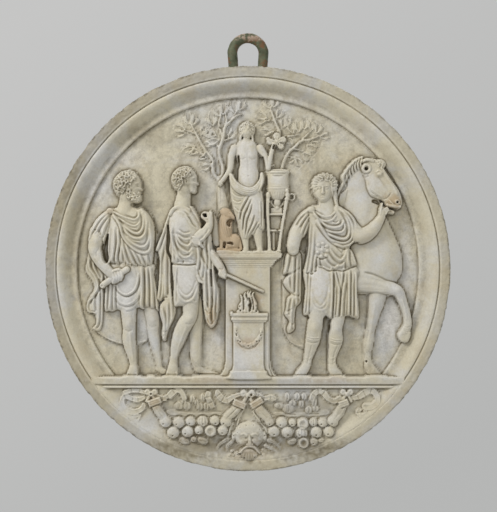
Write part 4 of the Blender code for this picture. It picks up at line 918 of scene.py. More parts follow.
        c.groove(scaled(ex, hz, s, (-0.06, 0.04), (0, 0.075), (0.06, 0.04)), 0.014 * s, -0.02 * s, face)
        c.groove(scaled(ex, hz, s, (-0.08, 0.1), (0, 0.13), (0.08, 0.1)), 0.022 * s, -0.022 * s, face)
        c.ball(fx + side * 0.045 * s, hz - 0.105 * s, 0.025 * s, 0.022 * s, 0.02 * s, middle + 0.4 * s,
            soft=0.5)
    c.groove(scaled(fx, hz, s, (-0.085, -0.2), (0, -0.192), (0.085, -0.2)), 0.014 * s, 0.03 * s, face)
    for mid_z, across, up, high in ((hz - 0.175 * s, 0.06 * s, 0.016 * s, 0.02 * s),
            (hz - 0.225 * s, 0.05 * s, 0.018 * s, 0.024 * s), (hz - 0.33 * s, 0.07 * s, 0.06 * s, 0.03 * s),
            (hz - 0.265 * s, 0.06 * s, 0.016 * s, -0.016 * s)):
        c.swell(fx, mid_z, across, up, high, face)
    hair = c.mass(scaled(hx, hz, s, (-0.3, 0), (-0.36, 0.16), (-0.37, 0.34), (-0.24, 0.48), (0, 0.55),
        (0.24, 0.5), (0.4, 0.34), (0.44, 0.1), (0.46, -0.12), (0.48, -0.36), (0.52, -0.58), (0.44, -0.62),
        (0.36, -0.5), (0.3, -0.3), (0.25, -0.06), (0.24, 0.14), (0.14, 0.25), (-0.02, 0.3), (-0.18, 0.26),
        (-0.26, 0.14)), middle, 0.3 * s, 0.3 * s)
    for k in range(13):
        a = math.radians(205 - 19 * k)
        ax, az = hx + 0.03 * s, hz + 0.16 * s
        c.limb([(ax + 0.24 * s * math.cos(a), az + 0.17 * s * math.sin(a), 2.2, middle + 12),
            (ax + 0.34 * s * math.cos(a - 0.12), az + 0.3 * s * math.sin(a - 0.12), 2.8, middle + 10),
            (ax + 0.42 * s * math.cos(a + 0.1), az + 0.39 * s * math.sin(a + 0.1), 2.2, middle + 5)],
            soft=0.6)
        c.groove([(ax + 0.25 * s * math.cos(a + 0.16), az + 0.18 * s * math.sin(a + 0.16)),
            (ax + 0.42 * s * math.cos(a + 0.24), az + 0.38 * s * math.sin(a + 0.24))], 0.9, 2.2)
    c.curls(hx + 0.04 * s, hz + 0.42 * s, 0.26 * s, 0.1 * s, 3.4, 1.8, hair, seed=0.7)
    for k in range(5):
        c.fold([(hx + (0.22 + 0.045 * k) * s, hz + 0.12 * s), (hx + (0.3 + 0.05 * k) * s, hz - 0.16 * s),
            (hx + (0.34 + 0.045 * k) * s, hz - 0.36 * s), (hx + (0.42 + 0.045 * k) * s, hz - 0.6 * s)], 1.2,
            2.2, hair, fade=(0.05, 0.1))
    sleeve = c.mass([(90, 88), (79, 83), (69, 69), (60, 51), (65, 46.5), (72, 47), (79, 44), (86, 51),
        (90, 66)], 20, 10, 11)
    for run in ([(88, 86), (76, 76), (67, 62), (62, 50)], [(89, 83), (79, 70), (70, 54), (68, 47)],
            [(90, 78), (83, 64), (76, 47)], [(91, 72), (86, 58), (83, 49)]):
        c.fold(run, 1.8, 2.6, sleeve, fade=(0.2, 0.04))
    c.groove([(60, 50), (66, 46.4), (73, 47.4), (79, 44), (86, 50)], 1, -1.6, sleeve)
    arm = c.limb([(73, 56, 10, 22), (69, 44, 10, 25), (67, 34, 9.6, 27), (67, 28, 8.4, 27)], soft=1)
    c.ball(67, 28, 8, 7, 6, 29, turn=10, soft=2)
    c.swell(66, 26, 5, 4.5, -2, arm)
    c.drill([(84, 44, 1.8), (81, 32, 3.2), (80.5, 16, 2.4), (79.5, 0, 1.4)], 5)
    hanging = c.mass([(58, 22), (54, 4), (52, -9), (60, -8), (52, -20), (58, -31), (64, -38), (58, -44),
        (56, -60), (54, -68), (61, -78), (58, -88), (60, -96), (69, -90), (69, -76), (71, -58), (78, -50),
        (79, -36), (79, -6), (79, 14), (76, 24)], 12, 8, 7)
    for width, rise, *run in ((2, 2.8, (60, 20), (57, 4), (54, -8)),
            (2.2, 3.4, (67, 20), (66, -10), (65, -36)), (2.2, 3.4, (73, 20), (72, -14), (71, -54)),
            (1.8, 2.4, (78, 16), (77, -14), (76, -46)), (1.8, 2.2, (59, -12), (60, -24), (62, -34)),
            (2, 2.8, (61, -42), (58, -56), (57, -68)), (2.2, 3, (66, -44), (64, -66), (62, -92)),
            (1.8, 2.2, (69, -58), (68, -74), (67, -88))):
        c.fold(run, width, rise, hanging, fade=(0.12, 0.05))
    for run in ([(52, -8), (62, -8), (71, -3), (78, 2)], [(58, -32), (66, -38), (74, -40), (78, -36)],
            [(54, -66), (60, -62), (65, -60)], [(61, -79), (66, -82), (69, -78)],
            [(70, -57), (75, -56), (79, -48)]):
        c.groove(run, 1.5, 2.6, hanging)
    reach = c.limb([(152, 62, 11, 18), (162, 50, 12, 22), (171, 49, 11.4, 24), (182, 56, 10, 25),
        (190.5, 66, 8, 26), (197, 76, 6, 27)], soft=3)
    c.swell(166, 46, 8, 7, 1.8, reach)
    c.groove([(160, 60), (170, 58), (180, 64)], 2, 1, reach)
    c.limb([(196.5, 75, 5.6, 27), (197.5, 82, 5.2, 28), (197, 88, 4, 27)], soft=1)
    c.limb([(194.5, 80, 2.2, 31), (195.5, 88, 2, 31.5), (197.6, 96, 1.8, 30)], soft=0.5)
    for k in range(3):
        c.limb([(198.5 + 2.2 * k, 82 - k, 1.8, 30.5), (201 + 2 * k, 87.5 - 1.6 * k, 1.7, 30.5),
            (205 + 1.6 * k, 90.5 - 2.4 * k, 1.5, 29)], soft=0.4)
    c.drill([(161.5, 37, 1.8), (156, 34.6, 2.6), (152, 30, 1.8)], 7)
    return c


carvings.append(carve_attendant())
set_in_marble(relief_piece("attendant", carvings[-1]))


# Horse
# The horse at the right edge, its head turned down to the attendant's hand and one foreleg raised;
# the body and the standing leg are in low relief, the head and raised leg in high relief.
def carve_horse():
    c = Carving()
    far_leg = c.limb([(194, -26, 16, 2), (191, -50, 12, 4), (187, -68, 9.4, 4), (182, -92, 7, 3),
        (179, -112, 7.6, 3), (177.5, -126, 5.6, 3), (179, -143, 6.2, 2.5)])
    c.limb([(180, -145, 7.5, 2.5), (185, -154, 9, 2.5), (190, -160, 9.5, 2)], flat=0.8)
    c.swell(179, -113, 5, 6, 1.4, far_leg)
    c.drill([(176, -138, 1.8)], 1)
    c.groove([(188, -50), (183, -85), (178, -110)], 2, -1, far_leg)
    body = c.mass([(146, -40), (150, 30), (146, 70), (139, 92), (138, 116), (144, 142), (158, 160),
        (182, 164), (192, 140), (194, 108), (203, 82), (212, 62), (221, 42), (227.5, 24), (229.5, 6),
        (228, -8), (221, -20), (214, -40), (190, -40), (165, -38)], 5, 13, 30)
    c.swell(198, 12, 24, 26, 4.6, body)
    c.swell(172, 84, 14, 34, 2.4, body)
    for width, depth, fade, *run in ((3.5, 1.4, (0.3, 0.4), (199, 80), (206, 58), (212, 44)),
            (1.5, 3.4, (0.1, 0.02), (172, -5.4), (185, -8.6), (198, -14), (208, -18.6), (221, -21.6)),
            (5, 1.4, (0.3, 0.4), (186, 96), (178, 76), (176, 50)),
            (6, 1.8, (0.3, 0.3), (165, 38), (171, 18), (170, -2))):
        c.groove(run, width, depth, body, fade=fade)
    raised = c.limb([(150, -20, 15, 6), (176, -23, 13, 9), (198, -27, 11, 12), (214, -30, 9.4, 14),
        (223, -35, 8.6, 15), (229, -48, 6.8, 14), (234, -62, 6, 13), (237, -76, 6, 12), (236, -86, 6.6, 12),
        (232, -94, 7.4, 12)], fine=8)
    c.swell(222, -31, 6, 6, 2, raised)
    c.groove([(162, -24), (184, -24), (206, -30)], 3, 1.2, raised, fade=(0.3, 0.3))
    c.groove([(164, -32), (184, -33.5), (204, -35)], 1.6, -1.2, raised, fade=(0.2, 0.2))
    c.groove([(227, -44), (231.6, -60), (234.6, -76)], 1.5, -1.2, raised)
    c.groove([(223, -42), (227.4, -58), (230, -74)], 1.2, 0.9, raised)
    for k in range(4):
        c.groove([(228 + 1.2 * k, -84 - 3.4 * k), (235, -87 - 3.2 * k), (241, -85 - 3.2 * k)], 0.9, 0.9,
            raised)
    c.mass([(224, -93), (237, -90), (241.5, -96), (237.5, -108.5), (227, -109), (222, -101)], 13, 5, 5)
    head = c.mass([(168, 156), (180, 163), (193, 160), (201, 148), (212, 131.5), (223, 116), (227.6, 103),
        (227.6, 93), (221, 88), (212, 89), (204, 92), (199.5, 99.5), (190, 103.5), (181, 107.5),
        (175.5, 118), (173.4, 130), (168, 142)], 17, 9, 12)
    c.swell(184, 126, 9, 12, 1.6, head)
    c.swell(217, 97, 8, 7, 2.4, head)
    c.groove([(198, 148), (206, 134), (215, 120), (221, 108)], 2.6, -2.2, head)
    c.groove([(190, 138), (199, 126), (208, 113)], 2.2, 1.6, head, fade=(0.3, 0.3))
    for width, depth, *run in ((1.4, -1.6, (174.6, 130), (176.6, 119), (182, 110.5), (190, 107)),
            (1, 1.6, (180, 114), (189, 107.6), (199, 102), (206, 105), (211, 112)),
            (0.9, -1.2, (181, 117.6), (190, 110.6), (199, 105))):
        c.groove(run, width, depth, head)
    c.ball(219.5, 98, 4.6, 3.8, 4, 27, turn=-40)
    c.drill([(220, 97.6, 1.7)], 20)
    for k in range(4):
        c.groove([(201 + 2.6 * k, 101 - 2 * k), (207 + 2.4 * k, 101.6 - 2.6 * k),
            (211 + 2.2 * k, 96 - 2.2 * k)], 1, -1.4, head)
    c.groove([(203.6, 93.4), (208, 90.6), (214, 89), (223, 87.6)], 1.4, 7, fade=(0.05, 0.1))
    c.limb([(200.6, 88.6, 3.4, 20), (206, 85, 3.6, 21), (213.6, 83, 3.4, 21)], soft=0.8)
    c.limb([(205, 93.6, 2.4, 26), (213, 92.2, 2.6, 27.5), (223.6, 91, 2.6, 26)], soft=0.8)
    c.swell(193, 141, 5.5, 4.5, 2.4)
    c.ball(193.5, 139, 3.6, 2.9, 2.6, 28, soft=0.4)
    c.groove([(187.6, 141), (193, 144.6), (199.4, 140)], 1.1, -1.9)
    c.groove([(189.6, 136.6), (194, 134.8), (198, 136.6)], 0.9, -1)
    ear_ring = [(174.6 + 5.4 * math.cos(a), 147.4 + 5.6 * math.sin(a), 2, 26)
        for a in np.linspace(0, math.tau, 14)]
    c.limb(ear_ring, soft=1)
    c.drill([(174.6, 147.4, 2.5)], 10)
    c.groove([(168.6, 143), (174, 139.4), (180, 142)], 1.4, 1.6)
    c.ball(196, 155, 8.6, 6.6, 5, 20, turn=-25, soft=2)
    c.curls(196, 155, 8.4, 6.4, 3.2, 1.8, None, turn=-25, seed=1.1)
    c.limb([(168, 158, 2.2, 25), (176, 160.6, 2.6, 26), (184, 158, 2.2, 25)], soft=0.8)
    c.groove([(170, 139), (173, 135), (178, 137)], 1.6, 2)
    for k in range(7):
        x, z = 167 - 4.2 * k, 164 - (0.5 + 0.55 * k) * k
        c.limb([(x + 2, z + 1, 2, 18), (x - 1.6, z - 5, 3, 20), (x - 0.6, z - 12, 2.6, 18),
            (x + 2.6, z - 19, 1.2, 14)], soft=0.6)
        c.groove([(x + 4, z), (x + 1.6, z - 7), (x + 2.6, z - 15)], 1, 4, fade=(0.05, 0.3))
    for k in range(6):
        x, z = 148 - 2.4 * k, 138 - 4.2 * k
        c.limb([(x + 3, z + 6, 1.8, 15), (x - 2, z - 3, 2.4, 15), (x - 4.6, z - 13, 2, 12),
            (x - 5, z - 25 - k, 1.2, 8)], soft=0.6)
        c.groove([(x + 2.4, z), (x - 0.6, z - 9), (x - 2, z - 22)], 0.9, 2.6, fade=(0.1, 0.2))
    for k in range(4):
        c.limb([(146 - 2.6 * k, 116 - 2 * k, 1.4, 14.5), (143 - 2.4 * k, 104 - 2 * k, 1.8, 13),
            (143 - 2 * k, 92 - 2 * k, 1, 10)], soft=0.6)
    c.drill([(185.6, 99.6, 2.4), (190, 98.6, 3.2), (193.4, 96, 2.2)], 5)
    return c


carvings.append(carve_horse())
set_in_marble(relief_piece("horse", carvings[-1]))


# Pedestal and altar
# A tall plinth with a moulded cornice, and a small burning altar before it with a beaded festoon;
# both are blocks left in the marble, finished flat with the chisel.
def carve_pedestal():
    c = Carving()
    c.mass([(-33, 5), (-33, -136), (-35, -148), (-40, -157), (-47, -163), (47, -163), (40, -157),
        (35, -148), (33, -136), (33, 5)], 12, 0.8, 1.2, smooth=False)
    levels = ((22, 45.5, 50, 18.5), (15.6, 43, 47, 16.6), (13.4, 41, 43, 15.2), (10.6, 38.5, 40, 14.4),
        (7.6, 36, 38, 13.4), (4.4, 34.4, 36, 12.6))
    lows = [level[0] for level in levels[1:]] + [2]
    for (top, left, right, front), low in zip(levels, lows):
        c.mass([(-left, top), (-left, low), (right, low), (right, top)], front, 0.9, 1.1, smooth=False)
    c.swell(-1, -6, 1.6, 2.4, -1)
    c.mass([(-30, -163), (-27, -155), (-23, -149), (-21.5, -142), (-21.5, -78), (23.5, -78), (23.5, -142),
        (25, -149), (29, -155), (32, -163)], 22.5, 0.7, 1, smooth=False)
    c.mass([(22, -78), (31, -78), (31, -146), (35, -157), (36, -163), (28, -163), (23, -148)], 17, 0.8, 1,
        smooth=False)
    c.mass([(-30, -163), (-26, -156), (-22.5, -150.5), (24.5, -150.5), (28, -156), (32, -163)], 24, 3.5,
        2.5)
    c.groove([(-22, -149.6), (24, -149.6)], 0.9, -1)
    for top, low, left, right, front in ((-65.5, -70, -26, 30, 27), (-70, -72.6, -24, 29, 25),
            (-72.6, -76.6, -25, 29, 26.2), (-76.6, -79.6, -23, 27, 24.2)):
        c.mass([(left, top), (left, low), (right, low), (right, top)], front, 0.8, 1.2, smooth=False)
    c.ball(-24, -66, 2.6, 3, 3, 26)
    c.mass([(-14, -67), (-13, -60), (12, -60), (14, -67)], 22, 3.5, 4)
    tongues = (([(-9, -63), (-11.5, -56), (-8, -49), (-9.5, -42), (-11, -39)], 2.7),
        ([(-4, -63), (-7.5, -55), (-3, -47), (-5, -40), (-3.5, -35.5)], 2.8),
        ([(1, -63), (-1.8, -54), (2.2, -46), (-0.4, -38), (0.6, -33.5)], 2.6),
        ([(5, -63), (7.6, -53), (4, -45), (2.6, -38), (4.4, -33)], 2.6),
        ([(9, -63), (11.4, -54), (8.6, -46), (6.6, -39), (8.8, -35)], 2.5))
    for run, size in tongues:
        thin = (1, 1, 0.82, 0.6, 0.3)
        c.limb([(x, z, size * t, 24.5 - 0.8 * k) for k, ((x, z), t) in enumerate(zip(run, thin))], soft=0.4)
    for floor, *holes in ((17, (2.6, -62, 1.2), (4.4, -53, 1.5), (1.8, -44, 1.1)),
            (19, (-6.4, -60, 0.8), (-6.4, -50, 1), (-7.4, -43, 0.7)),
            (19, (8.2, -60, 0.8), (7.4, -50, 0.9), (6, -42, 0.6))):
        c.drill(holes, floor, sharp=0.6)
    for x, z in ((-11, -62), (12.4, -62.5), (-12.6, -56), (13, -55), (-2, -39)):
        c.drill([(x, z, 1.1)], 19, sharp=0.6)
    festoon = smooth_run([(-18, -88), (-17, -98), (-12, -107.5), (0, -113.5), (12.5, -107), (18.5, -98),
        (20.5, -90)], 6)
    c.limb([(x, z, 3.2 if 6 < k < len(festoon) - 7 else 2.2, 22.6)
        for k, (x, z) in enumerate(festoon)][::4], soft=0.8)
    for k, (x, z) in enumerate(festoon[2:-2:2]):
        c.ball(x, z + (1.7 if k % 2 else -1.5), 2.1, 2.1, 2.4, 24, soft=0.3)
    for k, (x, z) in enumerate(festoon[3:-3:3]):
        c.drill([(x + 0.6, z - 3.6 + 3.2 * (k % 2), 0.9)], 20.4, sharp=0.5)
    for x, z in ((-18, -88), (20, -90)):
        c.ball(x, z, 3.4, 3.4, 1.6, 22.8, soft=0.4)
        c.drill([(x + 1.2, z - 3.8, 0.8)], 20.8, sharp=0.5)
    c.limb([(-18, -92, 1.2, 22.6), (-19.6, -103, 1, 22.4)], soft=0.4)
    c.limb([(20, -93, 1.2, 22.6), (21, -103, 1, 22.4)], soft=0.4)
    c.groove([(-15, -109), (-8, -116), (1, -118.4), (9, -116), (15.5, -109)], 1, 1.6, fade=(0.1, 0.1))
    return c


carvings.append(carve_pedestal())
set_in_marble(relief_piece("pedestal_and_altar", carvings[-1]))


# Laurel trees
# Two low bare-branched trees behind the statue, hardly raised from the field, with sprays of narrow
# leaves cut as shallow strokes round each twig.
def carve_trees():
    c = Carving()
    branches = ([(-44, 132, 3, 3), (-51, 141, 3, 4), (-53, 153, 2.8, 4.5), (-54, 164, 2.8, 4.5),
        (-62, 174, 2.4, 4.5), (-70, 186, 2.4, 4.5), (-75, 196, 2.2, 4.5), (-80, 206, 1.8, 4),
        (-86, 217, 1.2, 3)],
        [(-41, 132, 3, 3), (-37.5, 141, 2.8, 4), (-38, 152, 2.6, 4.5), (-41, 163, 2.6, 4.5),
        (-43, 176, 2.6, 5), (-38, 190, 2.6, 5), (-36, 200, 2.4, 5), (-34, 210, 2.2, 4.5),
        (-26, 219, 1.8, 4), (-18, 226, 1.6, 3.6), (-8, 230, 1, 3)],
        [(-62, 174, 2, 4), (-66, 168, 1.6, 4), (-71, 166, 1, 3)],
        [(-43, 180, 2, 4), (-49, 184, 1.6, 4), (-58, 184, 1, 3)],
        [(-38, 196, 2, 4.5), (-41, 206, 1.8, 4), (-43, 216, 1.6, 3.6), (-40, 228, 1, 3)],
        [(-36, 206, 1.8, 4.5), (-32, 218, 1.6, 4), (-33, 230, 1, 3)],
        [(-38, 190, 1.8, 4.5), (-32, 191, 1.6, 4), (-26, 194, 1, 3)],
        [(-77, 200, 1.6, 4), (-86, 203, 1.3, 3.6), (-94, 206, 0.9, 3)],
        [(46, 192, 2.6, 4), (47, 203, 2.4, 4.5), (43, 212, 2.2, 4.5), (39, 222, 2, 4.5), (36, 231, 1.6, 4),
        (33, 240, 1, 3)], [(45, 204, 1.8, 4.5), (40, 204, 1.6, 4), (31, 201, 1, 3)],
        [(40, 219, 1.8, 4), (34, 220, 1.4, 4), (26, 219, 1, 3)],
        [(50, 148, 2.6, 3), (54, 160, 2.6, 4), (60, 172, 2.4, 4.5), (70, 181, 2.2, 4.5), (79, 189, 2, 4.5),
        (90, 191, 1.8, 4.5), (100, 194, 1.4, 4), (108, 198, 0.9, 3)],
        [(79, 189, 1.6, 4.5), (86, 197, 1.4, 4), (94, 204, 1, 3)],
        [(66, 178, 1.6, 4.5), (73, 177, 1.4, 4), (82, 174, 1, 3)],
        [(57, 168, 1.6, 4), (64, 166, 1.2, 3.6), (71, 164, 0.9, 3)],
        [(54, 196, 1.6, 4), (64, 197, 1.4, 4), (76, 199, 1, 3)])
    for branch in branches:
        c.limb(branch, soft=0.8)
    c.limb([(-42, 133, 5, 2), (-40, 118, 6, 2.5), (-38, 102, 7.5, 2), (-36, 88, 9, 1)], soft=2.5)
    c.groove([(-43, 128), (-40, 112), (-40, 96)], 1.2, 1)
    sprays = ((-88, 220, 95, 11, 5), (-80, 218, 70, 9, 4), (-98, 208, 160, 10, 4), (-97, 201, 185, 9, 3),
        (-84, 180, 200, 11, 4), (-78, 174, 170, 10, 3), (-67, 203, 60, 9, 4), (-60, 200, 110, 11, 5),
        (-53, 218, 100, 11, 5), (-44, 232, 115, 11, 5), (-36, 234, 80, 10, 4), (-20, 237, 100, 12, 5),
        (-10, 240, 60, 9, 4), (-52, 200, 150, 10, 4), (-48, 190, 190, 9, 3), (-26, 196, 50, 8, 4),
        (-60, 152, 190, 9, 4), (-66, 166, 170, 9, 3), (-57, 184, 170, 8, 3), (-29, 202, 80, 8, 3),
        (32, 243, 110, 11, 5), (40, 244, 70, 9, 4), (24, 226, 150, 10, 4), (22, 219, 180, 9, 3),
        (30, 203, 170, 10, 4), (53, 214, 70, 10, 4), (46, 228, 60, 9, 4), (66, 206, 110, 10, 4),
        (76, 208, 90, 10, 4), (85, 212, 80, 10, 4), (95, 210, 100, 9, 4), (104, 206, 70, 9, 4),
        (112, 196, 10, 9, 3), (92, 180, 330, 10, 4), (86, 168, 320, 10, 4), (74, 160, 300, 9, 4),
        (66, 162, 200, 8, 3), (64, 188, 150, 9, 3), (98, 186, 340, 9, 3), (60, 216, 90, 8, 3))
    for x, z, lean, size, count in sprays:
        for k in range(count + 1):
            a = math.radians(lean + (k - count / 2) * 12)
            away = size * (2.1 - 0.15 * abs(k - count / 2))
            bend = 0.12 * away * (1 if k > count / 2 else -1)
            start = (x - 0.6 * size * math.cos(math.radians(lean)),
                z - 0.6 * size * math.sin(math.radians(lean)))
            c.limb([(*start, 0.8, 2),
                (start[0] + 0.5 * away * math.cos(a) - bend * math.sin(a),
                start[1] + 0.5 * away * math.sin(a) + bend * math.cos(a), 1.2, 1.6),
                (start[0] + away * math.cos(a), start[1] + away * math.sin(a), 0.6, 0.8)], soft=0.5, fine=5)
    for x, z, size in ((-88, 201, 1.4), (-84, 206, 1.2), (-76, 183, 1.4), (-73, 175, 1.4), (-48, 183, 1.6),
            (-41, 209, 1.6), (-55, 158, 1.5), (-56, 149, 1.5), (-52, 167, 1.3), (41, 204, 1.6),
            (34, 220, 1.4), (57, 196, 1.4), (63, 182, 1.6), (69, 186, 1.2), (73, 201, 1.3), (57, 177, 1.5),
            (66, 171, 1.4), (62, 165, 1.6), (84, 188, 1.3), (96, 204, 1.2), (35, 150, 1.6)):
        c.drill([(x, z, size)], -0.6, sharp=0.8)
    return c


carvings.append(carve_trees())
set_in_marble(relief_piece("laurel_trees", carvings[-1]))


# Statue
# A small standing figure on the pedestal, bare above and draped round the hips, one hand down to a
# tree trunk and the other raised with a flower, of the same marble as the rest.
def carve_statue():
    c = Carving()
    c.mass([(-46, 27), (-47, 20), (-44, 17.4), (-20, 18), (10, 17.6), (48, 17.4), (47, 25), (20, 27),
        (-10, 26), (-30, 28)], 15.5, 2.6, 3)
    for k in range(17):
        c.ball(-42 + 5.3 * k, 22.5 + 1.6 * math.sin(2.7 * k), 3, 2.2, 1.8, 16.8, soft=0.6)
    c.limb([(-7, 62, 8, 9), (-4.5, 44, 6, 11), (-3, 32, 4.4, 12), (-3, 27, 4.2, 13)], soft=1)
    c.limb([(13, 62, 9, 9), (15, 46, 6.5, 10), (17, 33, 4.6, 12), (18, 27, 4.4, 13)], soft=1)
    for x in (-3.4, 18):
        c.limb([(x, 29, 4, 14), (x - 1, 24.5, 5, 14.5)], flat=0.9, soft=0.6)
    skirt = c.mass([(-25, 137), (-27, 120), (-25.5, 106), (-23, 92), (-18, 74), (-13, 58), (-10.5, 43),
        (-5, 40.5), (0, 42), (4, 47), (10, 50.5), (13, 57), (24, 57), (25.5, 72), (25, 92), (22, 112),
        (20.5, 131), (10, 118), (-6, 114), (-18, 122)], 10.5, 9.5, 11)
    c.ball(10, 92, 10.5, 26, 5, 17.5, soft=4)
    for width, rise, *run in ((1.5, 1.6, (-24, 124), (-16, 114), (-6, 108)),
            (1.4, 1.6, (-24.6, 112), (-17, 106), (-8, 104)), (1.4, 1.6, (-23.6, 101), (-16, 97), (-9, 98)),
            (1.3, 1.4, (-21, 90), (-14, 84), (-9, 84)),
            (1.5, 2.6, (0, 108), (-6, 98), (-12, 86), (-14.5, 72)),
            (1.5, 2.8, (3, 104), (-2, 92), (-8, 78), (-10, 56)),
            (1.5, 2.8, (4, 96), (1, 84), (-4, 70), (-6, 46)),
            (1.4, 2.6, (8, 80), (4, 68), (-1, 56), (-4, 44)),
            (1.4, 2.4, (12, 70), (7, 60), (1, 51), (-2, 44)), (1.3, 1.8, (17, 68), (11, 60), (8, 52)),
            (1.5, 2.4, (20, 112), (21.5, 92), (22, 72), (21.5, 58)),
            (1.2, 1.6, (17.6, 100), (18.6, 80), (18, 60))):
        c.fold(run, width, rise, skirt, fade=(0.15, 0.1))
    c.drill([(24.4, 104, 0.8), (25, 88, 1.2), (24.6, 74, 0.8)], 6, sharp=0.8)
    c.drill([(6, 48, 2), (6.5, 38, 3.2), (6.5, 28, 2.4)], 8, sharp=1)
    torso = c.limb([(0, 124, 15, 8), (1, 138, 15.4, 8), (0, 150, 14.6, 8), (-1, 164, 16, 8),
        (-2, 175, 17, 7), (-2, 180, 14, 7)], flat=0.8, soft=2)
    for side, x in ((-1, -9), (1, 7)):
        c.swell(x, 167, 6.5, 4.5, 1.3, torso)
        c.groove([(x - 6, 164), (x, 161), (x + 6, 164)], 1, 0.9, torso)
    c.groove([(-1, 172), (0, 156), (0.5, 140)], 1.4, 0.6, torso)
    c.swell(0.5, 136.5, 0.9, 1.2, -1.4, torso)
    c.swell(0, 131, 9, 6, 0.8, torso)
    c.groove([(-14, 132), (-4, 121), (2, 118)], 1.3, 0.7, torso)
    c.groove([(15, 132), (7, 121), (2, 118)], 1.3, 0.7, torso)
    c.limb([(-20, 178, 6.5, 9), (-24.5, 166, 5.4, 11), (-25.5, 154, 4.8, 13), (-27, 146, 4.4, 14),
        (-32, 138, 3.8, 15), (-38, 130, 3.4, 14)], soft=1.5)
    c.ball(-40.5, 127.5, 4, 3.4, 3, 14, turn=40)
    for k in range(3):
        c.limb([(-41 + 1.6 * k, 127 - 0.8 * k, 1.2, 16), (-44 + 1.7 * k, 123.5 - 0.8 * k, 1.1, 14.5)],
            soft=0.4)
    c.limb([(18, 178, 6.5, 9), (24.5, 168, 5.2, 11), (28, 156, 4.4, 13), (30, 148, 4, 14),
        (32, 158, 3.8, 15), (34.5, 170, 3.4, 15), (37, 180, 3, 14), (39, 184, 3, 14)], soft=1.2)
    for floor, sharp, *holes in ((3, 0.8, (-14, 166, 1.1), (-13.5, 156, 1.6), (-15.5, 148, 1.8),
            (-18.5, 143, 1.2)),
            (-1, 1, (21.5, 164, 1.4), (22.5, 156, 2.2), (23, 142, 2.6), (23.5, 128, 2.6), (22, 116, 1.6)),
            (3, 0.8, (-27, 137, 1.6), (-30, 130, 2.2), (-34, 124, 1.4))):
        c.drill(holes, floor, sharp=sharp)
    roll = c.limb([(-25, 138, 3.4, 16), (-21, 127, 5.4, 19), (-12, 117.5, 6.4, 21), (2, 113.5, 6.2, 21),
        (13, 118, 5.6, 19), (20, 129, 4.2, 17), (20.6, 140, 3, 15)], soft=1)
    for lift in (4, 1.2, -1.8, -4.4):
        c.groove([(-25, 132 + lift), (-15, 119 + lift), (2, 113 + lift), (14, 118.6 + lift),
            (20.4, 132 + lift)], 0.9, 1.7, roll, fade=(0.1, 0.1))
    c.limb([(-2, 184, 5.6, 10), (-2, 192, 5.2, 11)], soft=1.5)
    cap = c.ball(-1.4, 205.5, 12.2, 13, 6, 10, soft=1.5)
    c.curls(-1.4, 205.5, 11.6, 12.4, 3.8, 2.6, cap, seed=1.9)
    for k in range(9):
        a = math.radians(26 * k - 14)
        c.drill([(-1.6 + 9.8 * math.cos(a), 205.5 + 11 * math.sin(a), 0.7)], 9)
    head = c.ball(-2, 202.5, 7.6, 10.2, 8.5, 13, soft=1)
    c.limb([(-2, 205, 1, 19.4), (-2, 201, 1.3, 20)], soft=0.6)
    for side in (-1, 1):
        c.swell(-2 + 2.9 * side, 204.4, 1.6, 1.1, -1, head)
        c.ball(-2 + 2.8 * side, 204.1, 1.3, 0.9, 0.8, 18, soft=0.3)
        c.limb([(-2 + 8.2 * side, 196.5, 2.2, 13), (-2 + 9.4 * side, 190.5, 1.9, 12.5),
            (-2 + 9.8 * side, 185, 1.3, 12)], soft=0.5)
    c.groove([(-4, 196.6), (-2, 196.9), (0, 196.6)], 0.6, 0.8, head)
    c.curls(-2, 212, 6.4, 3, 2.6, 1.6, None, seed=0.9)
    for x, z, across in ((33, 188, 5.4), (43, 196.5, 5.8), (52, 191, 5.4), (49, 181, 5), (41, 187, 4.6),
            (30, 192, 3.6)):
        lobe = c.ball(x, z, across, across * 0.95, 3.6, 10.5, soft=0.6)
        c.swell(x, z, across * 0.4, across * 0.4, -1, lobe)
    for k in range(9):
        a = math.tau * k / 9
        c.limb([(43 + 2.6 * math.cos(a), 188 + 2.4 * math.sin(a), 1.1, 12.5),
            (43 + 6.4 * math.cos(a), 188 + 6 * math.sin(a), 1.5, 12.8)], soft=0.4)
    c.ball(43, 188, 2.4, 2.4, 2.4, 12.5, soft=0.4)
    c.drill([(39, 182, 1.2), (37.5, 178, 1)], 3, sharp=0.8)
    return c


carvings.append(carve_statue())
set_in_marble(relief_piece("statue", carvings[-1]))


